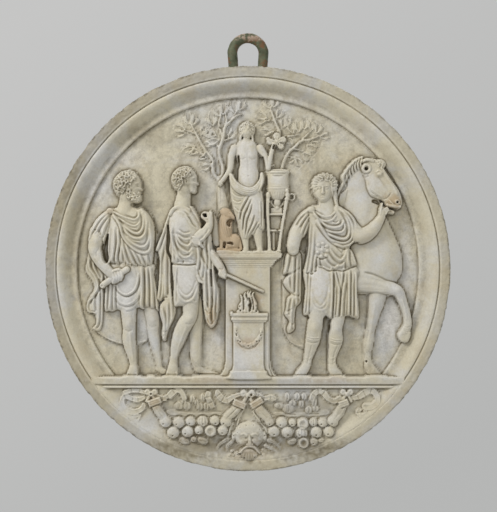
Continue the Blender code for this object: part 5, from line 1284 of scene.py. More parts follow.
# Seated animal
# A small winged beast sitting beside the statue, stained a sandy brown and rather worn, cut from
# the same block.
def carve_beast():
    c = Carving()
    body = c.limb([(-32, 74, 9.5, 9), (-34, 64, 10.5, 9), (-34, 54, 10.5, 9), (-32, 45, 10, 9),
        (-26, 38, 10, 9)], soft=1.5)
    c.swell(-35, 56, 6, 12, 1.4, body)
    for k in range(4):
        c.groove([(-40 + 4 * k, 72 - 3 * k), (-38 + 4.4 * k, 58 - 3 * k), (-33 + 4 * k, 47 - 3 * k)], 1,
            1.1, body)
    c.ball(-33, 83, 9, 7.4, 7, 11, turn=-12, soft=2)
    c.limb([(-27, 80, 5, 13), (-22.5, 76, 3.6, 13), (-20.6, 73.4, 1.8, 12)], soft=0.6)
    c.swell(-27, 80.6, 1.2, 1, -1.6)
    c.groove([(-34, 78), (-28, 75.5), (-23, 74)], 1, 1.4)
    c.drill([(-22, 71.4, 1.2), (-26, 71, 1.8), (-29, 67.4, 2.2), (-27.4, 63.4, 1.3)], 4, sharp=0.8)
    c.limb([(-42, 64, 4, 8), (-43.4, 52, 4.6, 8), (-41, 42, 4.2, 9)], soft=1)
    c.ball(-20, 40, 10, 12, 9, 9, soft=1.5)
    c.groove([(-29, 46), (-22, 48.5), (-14, 44)], 1.1, 0.9)
    for soft, *run in ((1, (-14, 44, 4, 10), (-11.5, 36, 3.4, 11), (-10, 29, 2.8, 11)),
            (0.8, (-38, 48, 4.2, 11), (-39, 38, 3.4, 13), (-39, 30, 3.2, 13)),
            (0.8, (-31, 46, 3.8, 11), (-30.5, 38, 3.2, 13), (-31, 31, 3, 13))):
        c.limb(run, soft=soft)
    c.drill([(-34.5, 37.5, 1.6), (-35, 33, 1.6), (-36.5, 28.5, 1.1)], 5, sharp=0.8)
    c.drill([(-30, 37.5, 0.9), (-25, 37.6, 1.4), (-22.5, 36, 1)], 6, sharp=0.8)
    c.mass([(-45, 32), (-46, 24), (-36, 22), (-14, 22), (-10, 28), (-18, 31), (-30, 30)], 12, 3.5, 4)
    return c


sandstone = marble_finish("stained marble", (0.56, 0.47, 0.33, 1), (0.52, 0.42, 0.29, 1), 0.55)
carvings.append(carve_beast())
set_in_marble(relief_piece("seated_animal", carvings[-1]), sandstone)


# Tripod
# A banded bowl on three slender legs with a shelf and a low block between them, beside the statue
# and cut with it from the one block of marble.
def carve_tripod():
    c = Carving()
    cup = c.mass([(28.5, 144), (28.5, 114), (31, 108), (37, 102), (44, 100), (51, 102), (57, 108),
        (60, 114), (60, 144)], 7, 11, 15, smooth=False)
    for z, size, ahead in ((142.6, 2.1, 8.5), (138.8, 1.3, 8.5), (122, 1.4, 8.6), (118.8, 1.9, 8.8),
            (115.6, 1.2, 8.4)):
        c.limb([(28.4, z, size, ahead), (36, z, size, ahead + 6.6), (44, z, size, ahead + 8.6),
            (52, z, size, ahead + 6.6), (60, z, size, ahead)], soft=0.4)
    for k in range(9):
        a = -1.2 + 0.3 * k
        x = 44 + 14.4 * math.sin(a)
        c.groove([(x, 114), (44 + 12 * math.sin(a), 108), (44 + 6.5 * math.sin(a), 101)], 0.8, 0.7, cup)
    c.mass([(28, 146), (28, 143.4), (60, 143.4), (60, 146), (52, 148), (38, 148)], 9, 5, 5)
    c.drill([(33, 150, 1.2), (36, 149.6, 1.5), (39, 150, 1)], 1, sharp=0.8)
    c.limb([(30, 148, 2.6, 8), (33, 152, 2.4, 8), (38, 153, 2.2, 7)], soft=0.8)
    for x in (29.6, 58.6):
        c.ball(x, 109, 3.4, 5, 4, 13)
    c.limb([(66 + 4.2 * math.cos(a) - 1, 106 + 4.8 * math.sin(a), 1.5, 9)
        for a in np.linspace(0.2, math.tau + 0.2, 12)], soft=0.4)
    c.ball(58, 115, 3, 3.4, 3, 14)
    legs = ([(30, 106, 3, 13), (29, 88, 2.6, 14), (30, 66, 2.4, 14), (31.5, 44, 2.4, 14),
        (32, 27, 2.8, 14)],
        [(57.5, 102, 3, 13), (54.5, 84, 2.5, 14), (51, 64, 2.3, 14), (48, 44, 2.3, 14), (46, 27, 2.8, 14)])
    for run in legs:
        stalk = c.limb(run, soft=0.5)
        c.groove([point[:2] for point in run], 0.7, 0.9, stalk)
        c.ball(run[-1][0], 26, 4.2, 3, 3.4, 14)
        c.ball(run[0][0], run[0][1] + 1, 3.6, 3.4, 3, 14)
    c.limb([(34, 99, 2, 6), (36, 95, 1.8, 6), (40, 91, 1.8, 6)], soft=0.5)
    c.limb([(54, 99, 2, 6), (51, 95, 1.8, 6), (47, 91, 1.8, 6)], soft=0.5)
    c.ball(43.5, 98, 5.5, 6, 6, 7, soft=1)
    c.ball(43.5, 90, 3.4, 3.4, 4, 7, soft=1)
    c.mass([(34, 90), (34, 81), (51, 81), (51, 90)], 7, 2, 2, smooth=False)
    c.limb([(31, 80, 1.7, 11), (51, 80, 1.7, 11)], soft=0.4)
    c.mass([(34, 79), (34, 57), (49, 57), (50, 79)], 2, 1, 2, smooth=False)
    c.limb([(31, 56, 1.7, 11), (49, 56, 1.7, 11)], soft=0.4)
    c.limb([(38, 54, 2.2, 5), (38, 40, 2, 5), (38, 27, 2.2, 6)], soft=0.6)
    c.drill([(44, 57.5, 1.2)], 1, sharp=0.6)
    return c


carvings.append(carve_tripod())
set_in_marble(relief_piece("tripod", carvings[-1]))


# Ledge
# The straight ground line under the figures, a flat strip over a groove and a thinner fillet, worn
# soft along its edges, left standing from the block.
def carve_ledge():
    c = Carving()
    strip = c.mass([(-231, -160), (-232.5, -171), (232.5, -171), (231, -160)], 21.4, 1.3, 1.6, smooth=False)
    c.mass([(-230, -170), (-228, -176.6), (228, -176.6), (230, -170)], 19.8, 1, 1.5, smooth=False)
    c.groove([(-228, -171.8), (0, -171.8), (228, -171.8)], 1, 4.5, fade=(0.02, 0.02))
    for k in range(60):
        x = -205 + 6.95 * k
        c.swell(x, -161 - 0.6 * math.sin(3.1 * k), 4 + 2 * math.sin(1.7 * k), 1.6, 0.7 * math.sin(2.3 * k),
            strip)
    for x, across in ((-171, 12), (-143, 5), (-112, 12), (-60, 18), (81, 11), (133, 10), (190, 14)):
        c.mass([(x - across, -158), (x - across - 1, -162), (x + across + 1, -162), (x + across, -158)], 18,
            4, 3)
    return c


carvings.append(carve_ledge())
set_in_marble(relief_piece("ledge", carvings[-1]))


# Fruit swags, ribbons and mask
# Two heavy garlands of fruit bound with ribbons below the ledge, worn animals on a ground line over
# each, and a bald bearded mask between them, all cut from the disc and softened by weather.
def fruit(c, x, z, r, kind):
    """Apple, pomegranate with its crown, or open ring flower."""
    c.groove([(x + 1.08 * r * math.cos(a), z + 1.08 * r * math.sin(a))
        for a in np.linspace(0, math.tau, 14)], 1.1, 2.4, fade=(0, 0))
    ball = c.ball(x, z, r, r * 0.97, r * 0.95, 6.5, soft=0.8)
    lean = math.radians(250 + 37 * math.sin(x))
    ex, ez = x + 0.45 * r * math.cos(lean), z + 0.45 * r * math.sin(lean)
    if kind == "flower":
        c.swell(x, z, 0.9 * r, 0.9 * r, -0.16 * r, ball)
        ring = [(x + 0.62 * r * math.cos(a), z + 0.62 * r * math.sin(a), 0.26 * r, 6.5 + 0.62 * r)
            for a in np.linspace(0, math.tau, 12)]
        c.limb(ring, soft=0.5, fine=3)
        c.swell(x, z, 0.34 * r, 0.34 * r, -3.2)
    elif kind == "crown":
        c.swell(ex, ez, 1.5, 1.2, -1.5, ball)
        for k in range(5):
            a = math.tau * k / 5
            c.swell(ex + 2.2 * math.cos(a), ez + 2 * math.sin(a), 0.7, 0.7, 0.7, ball)
    elif kind == "leafy":
        for lift in (-0.45, 0, 0.45):
            c.groove([(x + lift * r, z + 0.7 * r), (x + 1.3 * lift * r, z), (x + lift * r, z - 0.7 * r)],
                0.9, 1.6, ball)
    if kind != "flower":
        c.drill([(ex, ez, 0.75)], 6.5, sharp=0.5)
    c.swell(x + 0.2 * r, z - 0.1 * r, 0.5 * r, 0.35 * r, 0.05 * r, ball)


def ribbon(c, points, width, height, twists=3):
    """Flat band folded sharply where it turns, with raised edges and dark cross creases."""
    sides = ([], [])
    for k, (x, z, w) in enumerate(points):
        (fx, fz, _), (tx, tz, _) = points[max(k - 1, 0)], points[min(k + 1, len(points) - 1)]
        size = math.hypot(tx - fx, tz - fz)
        for way, side in zip((1, -1), sides):
            side.append((x + way * w * width * (tz - fz) / size, z - way * w * width * (tx - fx) / size))
    band = c.mass(sides[0] + sides[1][::-1], height, 0.7, 0.9)
    for side, other in (sides, sides[::-1]):
        c.groove([(0.85 * x + 0.15 * u, 0.85 * z + 0.15 * v) for (x, z), (u, v) in zip(side, other)], 0.8,
            -1.0, band, fade=(0.02, 0.02))
    for k in range(1, min(twists, len(points) - 2) + 1):
        c.groove([sides[0][k], sides[1][k]], 1.0, 1.6, fade=(0.1, 0.1))
    return band


def carve_swags():
    c = Carving()
    for side in (-1, 1):
        ground = [(side * x, z) for x, z in ((116, -208), (118, -217), (80, -220), (44, -219), (40, -212),
            (76, -213))]
        c.mass(ground if side > 0 else ground[::-1], 0.6, 1.4, 2.5)
    for side, lumps in ((-1,
            ((102, -203, 8, 6), (90, -203, 7, 6.5), (82, -193, 4.5, 6.5), (76, -198, 4, 5),
            (71, -204, 6, 6), (62, -204, 5, 6), (67, -190, 3.5, 6), (95, -197, 5, 4))),
            (1,
            ((34, -193, 7, 5), (46, -203, 8, 5), (60, -207, 10, 7), (58, -190, 4.5, 7), (66, -199, 6, 5),
            (73, -189, 5, 6), (83, -189, 4.6, 6), (79, -200, 4.5, 6), (90, -209, 6, 6), (100, -207, 6, 5),
            (98, -197, 5, 8)))):
        for x, z, across, up in lumps:
            lump = c.ball(side * x, z, across, up, 4.6, 1.2, soft=1.5)
            for k in range(3):
                bx = side * x + (k - 1) * 0.5 * across
                c.groove([(bx, z + 0.7 * up), (bx + 0.8, z), (bx - 0.4, z - 0.8 * up)], 0.9,
                    1.3 if k % 2 else -1, lump)
    c.drill([(78, -186, 0.8), (78.5, -195, 0.9)], 0.5, sharp=0.8)
    for reach, *run in ((1.6, (-108, -210), (-90, -212), (-70, -213), (-54, -212)),
            (1.4, (54, -215), (72, -216)), (1.4, (90, -215), (106, -215))):
        c.groove(run, 1.1, reach)
    for x in (-66, -62, -58):
        c.groove([(x, -200), (x + 1, -206), (x, -211)], 0.8, 1.2)
    left = ((-121.6, -226.4, 9, "apple"), (-102, -227.4, 9, "apple"), (-84.6, -225.6, 7.8, "apple"),
        (-66.8, -225.6, 8.4, "leafy"), (-48.8, -225, 7.8, "crown"), (-32.6, -226.2, 8.8, "crown"),
        (-110.4, -242, 9.4, "apple"), (-89, -241, 9.2, "crown"), (-72.4, -238.6, 7, "crown"),
        (-55, -239.6, 9.2, "flower"), (-37.4, -239, 8, "apple"), (-94, -254.4, 7, "leaf"),
        (-67, -254.4, 6.8, "leaf"), (-80.4, -252, 4.8, "apple"))
    right = ((50, -227.4, 8.8, "apple"), (65.8, -227.6, 6.4, "crown"), (81.2, -229, 9.2, "flower"),
        (97, -227, 6.8, "leafy"), (111, -227.6, 7.8, "crown"), (125.6, -225.6, 8.6, "apple"),
        (38.4, -240.6, 8.8, "apple"), (58, -241.6, 9, "crown"), (79.6, -243.2, 9, "leafy"),
        (101, -241.6, 9, "crown"), (119.4, -240.6, 8.4, "apple"), (65.6, -255.6, 6, "leaf"),
        (82.2, -257, 8.6, "flower"), (97.6, -255.4, 6, "crown"), (108, -253.4, 4.8, "leaf"),
        (32, -226.4, 7, "apple"))
    for x, z, r, kind in left + right:
        if kind == "leaf":
            leaf = c.ball(x, z, r * 1.25, r * 0.8, r * 0.7, 4.5, turn=-18 if x < 0 else 20, soft=0.8)
            c.groove([(x - r, z + 0.2 * r), (x, z), (x + r, z - 0.2 * r)], 0.8, 0.9, leaf)
        else:
            fruit(c, x, z, r, kind)
    for ends, width in ((((-137, -202), (-131, -212), (-124, -221)), (6.4, 7, 6.4)),
            (((-14, -203), (-21, -211), (-30, -219)), (6.4, 7.4, 7)),
            (((14, -204), (21, -213), (29, -221)), (6.6, 7.6, 7)),
            (((140, -202), (136, -211), (130, -220)), (6.6, 7.4, 7))):
        sheath = c.limb([(x, z, w, 7 - 0.1 * w) for (x, z), w in zip(ends, width)], flat=0.9, soft=1)
        for lift in (-0.5, 0, 0.5):
            c.groove([(x + lift * w, z + lift * w) for (x, z), w in zip(ends, width)], 0.8, 0.7, sheath)
    for a, b in (((-145.6, -199.6), (-130, -194)), ((-20, -197), (-5, -203)), ((5.6, -203), (20, -194)),
            ((136, -201), (147, -197))):
        for k, lift in enumerate((3.2, 0, -3.2)):
            nx, nz = b[1] - a[1], a[0] - b[0]
            size = math.hypot(nx, nz)
            shift = (nx * lift / size, nz * lift / size)
            c.limb([(a[0] + shift[0], a[1] + shift[1], 2.1, 11.5),
                (b[0] + shift[0], b[1] + shift[1], 2.1, 11.5)], flat=1.1, soft=0.5)
            if k != 1:
                edge = (shift[0] * 1.75, shift[1] * 1.75)
                c.groove([(a[0] + edge[0], a[1] + edge[1]), (b[0] + edge[0], b[1] + edge[1])], 0.9, 3.4,
                    fade=(0.02, 0.02))
    for x, z, scale in ((-143, -184, 1), (0, -186, 1.15), (146, -184, 1)):
        for side in (-1, 1):
            c.ball(x + 5.2 * side * scale, z + 1.5, 5 * scale, 5.4 * scale, 5 * scale, 6, turn=-25 * side,
                soft=0.8)
            c.swell(x + 5.4 * side * scale, z + 1.5, 1.6, 2, -1.8)
            c.limb([(x + 3 * side, z - 5, 2.4 * scale, 7),
                (x + 6.5 * side * scale, z - 12 * scale, 2.6 * scale, 6.5)], flat=0.9, soft=0.6)
        c.ball(x, z - 1, 3.4 * scale, 4 * scale, 4 * scale, 9, soft=0.5)
    for x, z, r in ((-143, -185, 1.1), (5, -186.5, 1.5), (1.4, -190.5, 1.3), (146, -181, 1)):
        c.drill([(x, z, r)], 3, sharp=0.6)
    ribbon(c, [(-150, -184, 0.8), (-160, -181, 1), (-172, -180.5, 1.1), (-184, -184, 1)], 3.4, 4.6)
    ribbon(c,
        [(-152, -190, 0.7), (-162, -194, 1), (-170, -193, 1), (-182, -189, 1.1), (-186, -198, 1.1),
        (-180, -208, 1.2), (-168, -212, 1.2), (-157, -208, 1), (-153, -200, 0.8)], 4, 4.2)
    ribbon(c, [(-180, -216, 0.9), (-170, -219, 1.1), (-160, -218, 1), (-164, -226, 0.8)], 3.4, 4, twists=1)
    ribbon(c,
        [(-136, -188, 0.7), (-126, -192, 1), (-118, -190, 1.2), (-110, -182, 1.3), (-103, -179, 1.2),
        (-97, -184, 1), (-93, -194, 0.8)], 4.2, 5.6)
    c.drill([(-118, -194, 1.8), (-110, -196, 1.5)], 0, sharp=1)
    c.drill([(-115, -177.6, 1.4), (-107, -178, 0.9)], 4, sharp=0.8)
    ribbon(c, [(-58, -182, 0.9), (-59, -190, 1.1), (-55, -198, 1.1), (-52, -206, 0.9)], 4.2, 5)
    ribbon(c,
        [(-47, -180, 1), (-43, -187, 1.3), (-37, -193, 1.3), (-30, -195, 1.1), (-22, -190, 0.9),
        (-12, -186, 0.7), (-5, -185, 0.6)], 4.2, 5.6)
    c.drill([(-50, -180, 1.6), (-50, -187, 1)], 1, sharp=0.8)
    ribbon(c, [(6, -184, 0.6), (16, -187, 0.9), (24, -192, 1), (34, -190, 1), (42, -193, 0.8)], 3.8, 4.8)
    ribbon(c,
        [(94, -196, 0.9), (97, -187, 1.1), (104, -181, 1.2), (112, -184, 1.2), (119, -192, 1.1),
        (128, -196, 1), (138, -190, 0.8)], 4.2, 5.6)
    c.swell(106, -188, 5, 4, -1.6)
    c.drill([(110, -178.4, 1.2), (117, -179, 0.8)], 4, sharp=0.8)
    ribbon(c,
        [(153, -191, 0.7), (163, -190, 1), (172, -184, 1.3), (182, -180, 1.3), (190, -187, 1.1),
        (191, -197, 1.1), (182, -204, 1.2), (170, -204, 1)], 4.4, 5)
    ribbon(c, [(166, -207, 0.9), (163, -213, 1.1), (168, -218, 1.2), (175, -214, 1), (172, -209, 0.8)], 3.6,
        4.2, twists=1)
    for path in ([(-10, -208, 1.6, 3), (-16, -220, 1.8, 4), (-24, -232, 2, 4), (-29, -246, 2, 3)],
            [(-5, -206, 1.6, 3), (-12, -219, 1.8, 3), (-16, -232, 1.6, 2)],
            [(8, -212, 1.6, 3), (15, -222, 1.8, 4), (24, -233, 2, 4), (29, -243, 2, 3)]):
        c.limb(path, soft=0.8)
    c.drill([(-22.5, -222.5, 1.3), (-19, -229, 1.6), (-21, -236, 1.4)], 0, sharp=1)
    c.drill([(19, -222, 1.2), (21, -228, 1.3), (26, -233, 1.2)], 0, sharp=1)
    for run, size in (([(-30, -252), (-36, -256), (-43, -262), (-46, -272)], 3.2),
            ([(-24, -256), (-30, -262), (-31, -270)], 3),
            ([(30, -254), (38, -257), (46, -264), (50, -273)], 3.2),
            ([(26, -262), (34, -266), (42, -271)], 3), ([(22, -268), (30, -273), (38, -277)], 2.6)):
        c.limb([(x, z, size * (1 - 0.16 * k), 3.4 - 0.5 * k) for k, (x, z) in enumerate(run)], flat=0.8,
            soft=0.8)
        c.groove(run, 0.9, 0.8)
    face = c.ball(1.5, -246, 22, 20.5, 9.5, 4.5, soft=1.5)
    c.swell(1.5, -236, 15, 9, 2.2, face)
    for side, x in ((-1, -20.5), (1, 24.5)):
        c.ball(x, -248, 3.6, 7.4, 4, 4.5, turn=8 * side, soft=0.8)
        c.drill([(x + 0.4 * side, -247, 0.9)], 5, sharp=0.5)
    for x, z in ((-12, -234), (-2.5, -231), (8.5, -230.5), (17.5, -237), (-15.4, -242), (19.6, -244)):
        c.swell(x, z - 1.5, 4.4, 3.2, 1.2, face)
        c.drill([(x, z, 0.7)], 9, sharp=0.5)
    c.groove([(-12, -245), (-6, -243.2), (-0.6, -246.6)], 1.9, -2.4, face)
    c.groove([(4.6, -246.6), (9.6, -243.2), (16, -245)], 1.9, -2.4, face)
    for x in (-3, 6.6):
        c.swell(x, -249.8, 3, 2, -2.4, face)
        c.drill([(x + 0.2, -249.8, 0.9)], 8, sharp=0.5)
        c.groove([(x - 3, -252.4), (x, -253.2), (x + 3, -252.4)], 0.8, -0.8, face)
    c.limb([(2.2, -245, 1.6, 14.4), (2.4, -252, 2.2, 15), (2.6, -258, 3.2, 15.4)], soft=1)
    for side in (-1, 1):
        c.ball(2.6 + 3.2 * side, -259, 1.9, 1.5, 1.6, 15.2, soft=0.6)
        c.swell(2.6 + 11 * side, -256, 6, 4.4, 2, face)
        c.groove([(2.6 + 5.5 * side, -257), (2.6 + 10.5 * side, -263), (2.6 + 12 * side, -268)], 1.1, 1.2)
    beard = c.ball(2, -271, 13.5, 12.5, 9, 5, soft=1.2)
    c.limb([(-13, -271.5, 1.6, 11.5), (-7, -267, 2.2, 13.5), (-1, -262.6, 2.4, 14.6), (3, -261.8, 2.2, 15),
        (8, -263, 2.4, 14.6), (13, -267, 2.2, 13), (18, -272, 1.5, 11)], soft=0.8)
    c.groove([(-9, -270), (-3, -265.4), (3, -264.4), (8, -265.6), (12.5, -270)], 1.2, 3.4,
        fade=(0.12, 0.12))
    c.swell(3, -267.5, 5, 1.6, 0.8, beard)
    for k in range(9):
        x = -9 + 2.8 * k
        c.groove([(x * 0.75 + 0.6, -270), (x + math.sin(2 * k), -276), (x * 1.1, -282)], 0.8, 0.9, beard)
    for x, z, r in ((-16, -272, 3.4), (-22, -275, 3.2), (-28, -275.5, 3), (-24, -269.5, 2.8),
            (15.5, -273, 3.2), (20.5, -276, 3), (-11, -277, 3)):
        c.ball(x, z, r, r * 0.9, 2.6, 4.4, soft=0.6)
        c.swell(x, z, 0.9, 0.8, -1.4)
    for x, z, r in ((-5.5, -279.8, 1.4), (10.5, -278.6, 1.1), (-13, -273.6, 1.1), (21, -276.5, 0.9),
            (-48, -273.5, 1.1), (48.5, -276.5, 1), (-16.5, -259.5, 1)):
        c.drill([(x, z, r)], 1, sharp=0.8)
    x, z = np.meshgrid(c.axis, c.axis)
    ground = (lower_level(0 * x) + lower_level(np.hypot(x, z))) / 2
    c.lift(ground / rise_unit, 0.85)
    return c


carvings.append(carve_swags())
set_in_marble(relief_piece("swags_and_mask", carvings[-1]))


# Hanging ring
# The forged iron bow let into the top edge, hammered round and painted a dark olive green, with
# rust and bare worn metal in patches, and rubbed bare near its top.
bar = 7.5
bow_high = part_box("hanging_ring")[1][2] / MM - centre_z
bow_radius = 23.1
bow_middle = bow_high - bow_radius - bar
leg = [(20.4, outer_radius - 30), (20.8, outer_radius - 16), (21.2, outer_radius - 4),
    (22.2, outer_radius + 4)]
line = leg + [(bow_radius * math.cos(math.radians(a)), bow_middle + bow_radius * math.sin(math.radians(a)))
    for a in range(-6, 187, 6)]
line += [(-x, z) for x, z in leg[::-1]]
bpy.ops.curve.primitive_bezier_curve_add()
bow_curve = bpy.context.object
bow_curve.data.splines.clear()
spline = bow_curve.data.splines.new("POLY")
spline.points.add(len(line) - 1)
for point, (x, z) in zip(spline.points, line):
    point.co = (x * MM, 0, (z + centre_z) * MM, 1)
bow_curve.data.bevel_depth = bar * MM
bow_curve.data.bevel_resolution = 8
bow_curve.data.use_fill_caps = True
bow_curve.data.twist_mode = "MINIMUM"
bpy.ops.object.convert(target="MESH")
bow = bpy.context.object
bow.name = "hanging_bow"
fine = bow.modifiers.new("fine", "SUBSURF")
fine.levels = 2
fine.render_levels = 2
dents = bpy.data.textures.new("hammer marks", "CLOUDS")
dents.noise_scale = 0.012
dents.noise_depth = 2
hammer = bow.modifiers.new("hammer marks", "DISPLACE")
hammer.texture = dents
hammer.texture_coords = "LOCAL"
hammer.strength = 0.0016
hammer.mid_level = 0.55
bpy.ops.object.shade_smooth()

iron = bpy.data.materials.new("painted iron")
iron.use_nodes = True
tree = iron.node_tree
shader = tree.nodes["Principled BSDF"]
where = shade_node(tree, "ShaderNodeTexCoord").outputs["Object"]
olive = mixed(tree, "MIX", spread(tree, noise(tree, where, 90.0, 4.0), 0.35, 0.65), (0.06, 0.07, 0.035, 1),
    (0.14, 0.155, 0.09, 1))
rust = spread(tree, noise(tree, where, 55.0, 6.0, 0.7), 0.50, 0.60)
colour = mixed(tree, "MIX", rust, olive, (0.17, 0.085, 0.035, 1))
ochre = spread(tree, noise(tree, where, 38.0, 5.0, 0.7), 0.60, 0.66)
colour = mixed(tree, "MIX", ochre, colour, (0.36, 0.27, 0.12, 1))
bare = spread(tree, noise(tree, where, 44.0, 5.0, 0.75), 0.60, 0.64)
colour = mixed(tree, "MIX", bare, colour, (0.46, 0.38, 0.31, 1))
high = shade_node(tree, "ShaderNodeSeparateXYZ")
tree.links.new(where, high.inputs[0])
rubbed = shade_node(tree, "ShaderNodeMath", operation="MULTIPLY")
near_top = spread(tree, high.outputs["Z"], (centre_z + bow_high - 14) * MM, (centre_z + bow_high - 5) * MM)
tree.links.new(near_top, rubbed.inputs[0])
tree.links.new(spread(tree, noise(tree, where, 130.0, 4.0, 0.7), 0.44, 0.56), rubbed.inputs[1])
colour = mixed(tree, "MIX", rubbed.outputs[0], colour, (0.50, 0.38, 0.30, 1))
tree.links.new(colour, shader.inputs["Base Color"])
shader.inputs["Metallic"].default_value = 0.15
shader.inputs["Roughness"].default_value = 0.62
rough = shade_node(tree, "ShaderNodeBump", Strength=0.5, Distance=0.0008)
tree.links.new(noise(tree, where, 160.0, 6.0, 0.7), rough.inputs["Height"])
tree.links.new(rough.outputs["Normal"], shader.inputs["Normal"])
bow.data.materials.append(iron)
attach(bow, "root")
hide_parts("hanging_ring")


# Painted shade, dirt and wear
# Brown dust and painted shade lie in every recess of the carving, and the ridges are rubbed pale under a
# painted highlight; both follow the carved heights, so they are worked out once for the whole disc and kept
# on each piece.
def box_blur(values, reach):
    """Mean of the values over a square, twice, so that it falls off softly."""
    for _ in range(2):
        for axis in (0, 1):
            padded = np.pad(values, [(reach + 1, reach) if k == axis else (0, 0) for k in (0, 1)],
                mode="edge")
            total = np.cumsum(padded, axis=axis)
            size = 2 * reach + 1
            count = total.shape[axis]
            ahead = np.take(total, range(size, count), axis)
            values = (ahead - np.take(total, range(0, count - size), axis)) / size
    return values


lattice_x, lattice_z = np.meshgrid(lattice_axis, lattice_axis)
away = np.hypot(lattice_x, lattice_z)
surface = np.where(away < field_radius, 0, np.interp(away, *np.array(full_profile).T))
surface = np.where(lattice_z > ledge_level, surface, lower_level(away))
for form in carvings:
    stands = form.height > form.floor + 0.001
    surface = np.where(stands, np.maximum(surface, form.height * rise_unit), surface)
# Painted shade mixed with dirt: darker wherever the carving lies below its blurred surroundings, as shade
# falls there.
hollow = sum(share * np.clip((box_blur(surface, reach) - surface) / deep, 0, 1.2)
    for reach, share, deep in ((2, 0.62, 1.1), (6, 0.32, 4.8), (16, 0.08, 11.0)))
# Painted highlight with wear: lighter wherever the carving stands above its blurred surroundings.
ridge = np.clip((surface - box_blur(surface, 2)) / 1.1, 0, 1)
broken = 0.5 + 0.5 * waves(lattice_x, lattice_z, 37, 0.9)
hollow = np.clip(hollow * (0.75 + 0.5 * broken), 0, 1)


def soft_spots(x, z, spots):
    """Strongest of a list of soft oval spots at each place, their edges broken up."""
    ragged = 0.35 * waves(x, z, 9, 1.1) + 0.2 * waves(x, z, 3.7, 2.2)
    total = 0 * x
    for middle_x, middle_z, across, up, strength in spots:
        off = np.hypot((x - middle_x) / across, (z - middle_z) / up) + ragged
        total = np.maximum(total, strength * np.clip(1.5 - off, 0, 1))
    return total


# Spots of painted shade with dust, of painted light on paler stone, and of stains: middle, half sizes across
# and up, and strength
shade_and_dust_spots = ((-184, 124, 14, 20, 0.4), (-98, 132, 15, 18, 0.45), (112, 137, 18, 12, 0.35),
    (-70, -262, 60, 16, 0.7), (70, -262, 60, 16, 0.7), (-85, -205, 60, 14, 0.4), (85, -205, 60, 14, 0.4),
    (0, -276, 12, 8, 0.6), (-150, 195, 40, 16, 0.3), (-250, 60, 20, 90, 0.25), (0, 262, 90, 10, 0.2),
    (0, -168, 190, 4, 0.25))
pale_and_lit_spots = ((-222, 64, 15, 20, 0.7), (-198, 42, 10, 30, 0.6), (-179, -25, 15, 30, 0.45),
    (-103, 68, 13, 18, 0.7), (-92, -20, 16, 24, 0.8), (106, -22, 15, 26, 0.95), (1, 150, 17, 32, 0.85),
    (8, 92, 12, 26, 0.7), (2, -126, 22, 24, 0.7), (212, -68, 11, 34, 1), (233, 15, 9, 48, 0.6),
    (-172, 172, 24, 22, 0.35), (-50, -122, 15, 30, 0.45), (186, 126, 10, 9, 0.6), (56, -263, 15, 9, 0.7),
    (44, 131, 11, 8, 0.7), (170, 92, 20, 30, 0.25), (-232, 100, 12, 30, 0.4), (150, 200, 40, 20, 0.2),
    (-88, -125, 10, 20, 0.3), (-4, 70, 20, 18, 0.3), (118, 60, 22, 26, 0.45), (-28, -60, 12, 50, 0.4),
    (60, 100, 26, 60, 0.35), (-60, 100, 22, 60, 0.3), (0, 252, 60, 10, 0.3))
stained_spots = ((214, 98, 13, 11, 0.65), (-53, -72, 8, 18, 0.7), (14, -47, 7, 11, 0.6),
    (-203, 85, 7, 7, 0.45), (2, -268, 24, 14, 0.4), (0, -110, 17, 8, 0.5), (-36, 16, 7, 18, 0.35),
    (-137, -198, 10, 9, 0.5), (-13, -199, 9, 9, 0.5), (13, -200, 9, 9, 0.5), (-80, -250, 18, 6, 0.4),
    (-60, -164, 30, 5, 0.3), (120, -163, 30, 5, 0.3), (-30, 24, 16, 8, 0.4), (-65, 70, 6, 9, 0.4),
    (-118, 30, 5, 30, 0.25))
# The darker spots add more painted shade and dust to the recess darkening.
hollow = np.clip(hollow + soft_spots(lattice_x, lattice_z, shade_and_dust_spots), 0, 1)
# The pale spots, partly washed stone and partly painted light, are held out of the recesses.
pale_and_lit = soft_spots(lattice_x, lattice_z, pale_and_lit_spots) * (1 - hollow)
stained = soft_spots(lattice_x, lattice_z, stained_spots)
for piece in carved:
    count = len(piece.data.vertices)
    co = np.empty(3 * count, dtype=np.float32)
    piece.data.vertices.foreach_get("co", co)
    co = co.reshape(-1, 3) / MM
    flat = np.stack([co[:, 0], co[:, 2] - centre_z])
    number = np.round((flat - lattice_axis[0]) / lattice_step)
    column, row = np.clip(number, 0, len(lattice_axis) - 1).astype(int)
    behind = co[:, 1] > 4
    radius = np.hypot(*flat)
    old_side = np.clip((0.35 * co[:, 2] - 0.35 * centre_z - 0.9 * co[:, 0]) / outer_radius, 0, 1)
    band = np.clip((radius - rim_inner) / 3, 0, 1) * (0.3 + 0.55 * old_side)
    edge = np.clip((radius - outer_radius + 5.5) / 3.5, 0, 1) * (0.6 + 0.4 * old_side)
    # recess carries painted shade with dust, crest a painted highlight on rubbed ridges, and the pale spots
    # partly painted light.
    values = {"recess": np.where(behind, 0.15, np.clip(hollow[row, column] + 0.7 * band, 0, 1)),
        "crest": np.where(behind, 0, ridge[row, column]),
        "pale_and_lit": np.where(behind, 0, pale_and_lit[row, column]),
        "stained": np.where(behind, 0, stained[row, column]),
        "rim": np.where(co[:, 1] > -8, 0.25, np.clip(edge + 0.1 * band, 0, 1))}
    for name, value in values.items():
        layer = piece.data.attributes.new(name, "FLOAT", "POINT")
        layer.data.foreach_set("value", value.astype(np.float32))


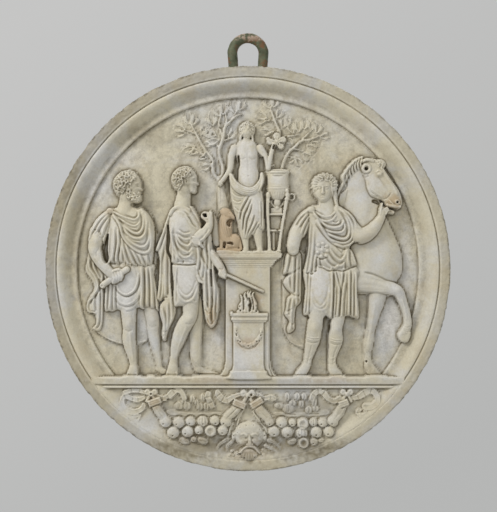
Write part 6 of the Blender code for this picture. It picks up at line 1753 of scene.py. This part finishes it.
# Floor, light and camera
# A plain pale floor well below the hung roundel, soft daylight from the upper left, and the
# camera square to the carved face as in the picture.
bpy.ops.mesh.primitive_cylinder_add(vertices=96, radius=1.1, depth=0.02, location=(0, 0, -1.42))
floor = bpy.context.object
floor.name = "floor"
pale = bpy.data.materials.new("pale floor")
pale.use_nodes = True
pale.node_tree.nodes["Principled BSDF"].inputs["Base Color"].default_value = (0.55, 0.55, 0.55, 1)
pale.node_tree.nodes["Principled BSDF"].inputs["Roughness"].default_value = 0.9
floor.data.materials.append(pale)

room = bpy.data.worlds.new("room")
bpy.context.scene.world = room
room.use_nodes = True
tree = room.node_tree
way = shade_node(tree, "ShaderNodeTexCoord").outputs["Generated"]
slope = shade_node(tree, "ShaderNodeVectorMath", operation="DOT_PRODUCT")
slope.inputs[1].default_value = (-0.55, 0.0, 0.83)
tree.links.new(way, slope.inputs[0])
grey = mixed(tree, "MIX", spread(tree, slope.outputs["Value"], -0.22, 0.26), (0.465, 0.47, 0.465, 1),
    (0.56, 0.56, 0.555, 1))
tree.links.new(grey, tree.nodes["Background"].inputs["Color"])
tree.nodes["Background"].inputs["Strength"].default_value = 1.0


def lamp(name, place, aim, size, power, tint):
    """Soft square lamp turned towards a point."""
    light = bpy.data.lights.new(name, "AREA")
    light.size = size
    light.energy = power
    light.color = tint
    thing = bpy.data.objects.new(name, light)
    thing.location = place
    thing.rotation_euler = (Vector(aim) - Vector(place)).to_track_quat("-Z", "Y").to_euler()
    bpy.context.scene.collection.objects.link(thing)


middle = (0, 0, centre_z * MM)
lamp("window", (-1.25, -1.15, 0.95), middle, 0.55, 19.0, (1.0, 0.97, 0.92))
lamp("sky", (0.6, 1.5, 1.0), middle, 1.4, 10.0, (0.95, 0.97, 1.0))
lamp("room", (0.5, -2.6, 0.3), middle, 1.6, 9.0, (1.0, 0.98, 0.95))

view = bpy.data.cameras.new("camera")
view.sensor_fit = "HORIZONTAL"
view.sensor_width = 36
view.lens = 85
camera = bpy.data.objects.new("camera", view)
picture_width = 0.740
camera.location = (0.0009, -picture_width * view.lens / view.sensor_width, centre_z * MM + 0.0185)
camera.rotation_euler = (math.radians(90), 0, 0)
bpy.context.scene.collection.objects.link(camera)
bpy.context.scene.camera = camera
bpy.context.scene.view_settings.view_transform = "Standard"
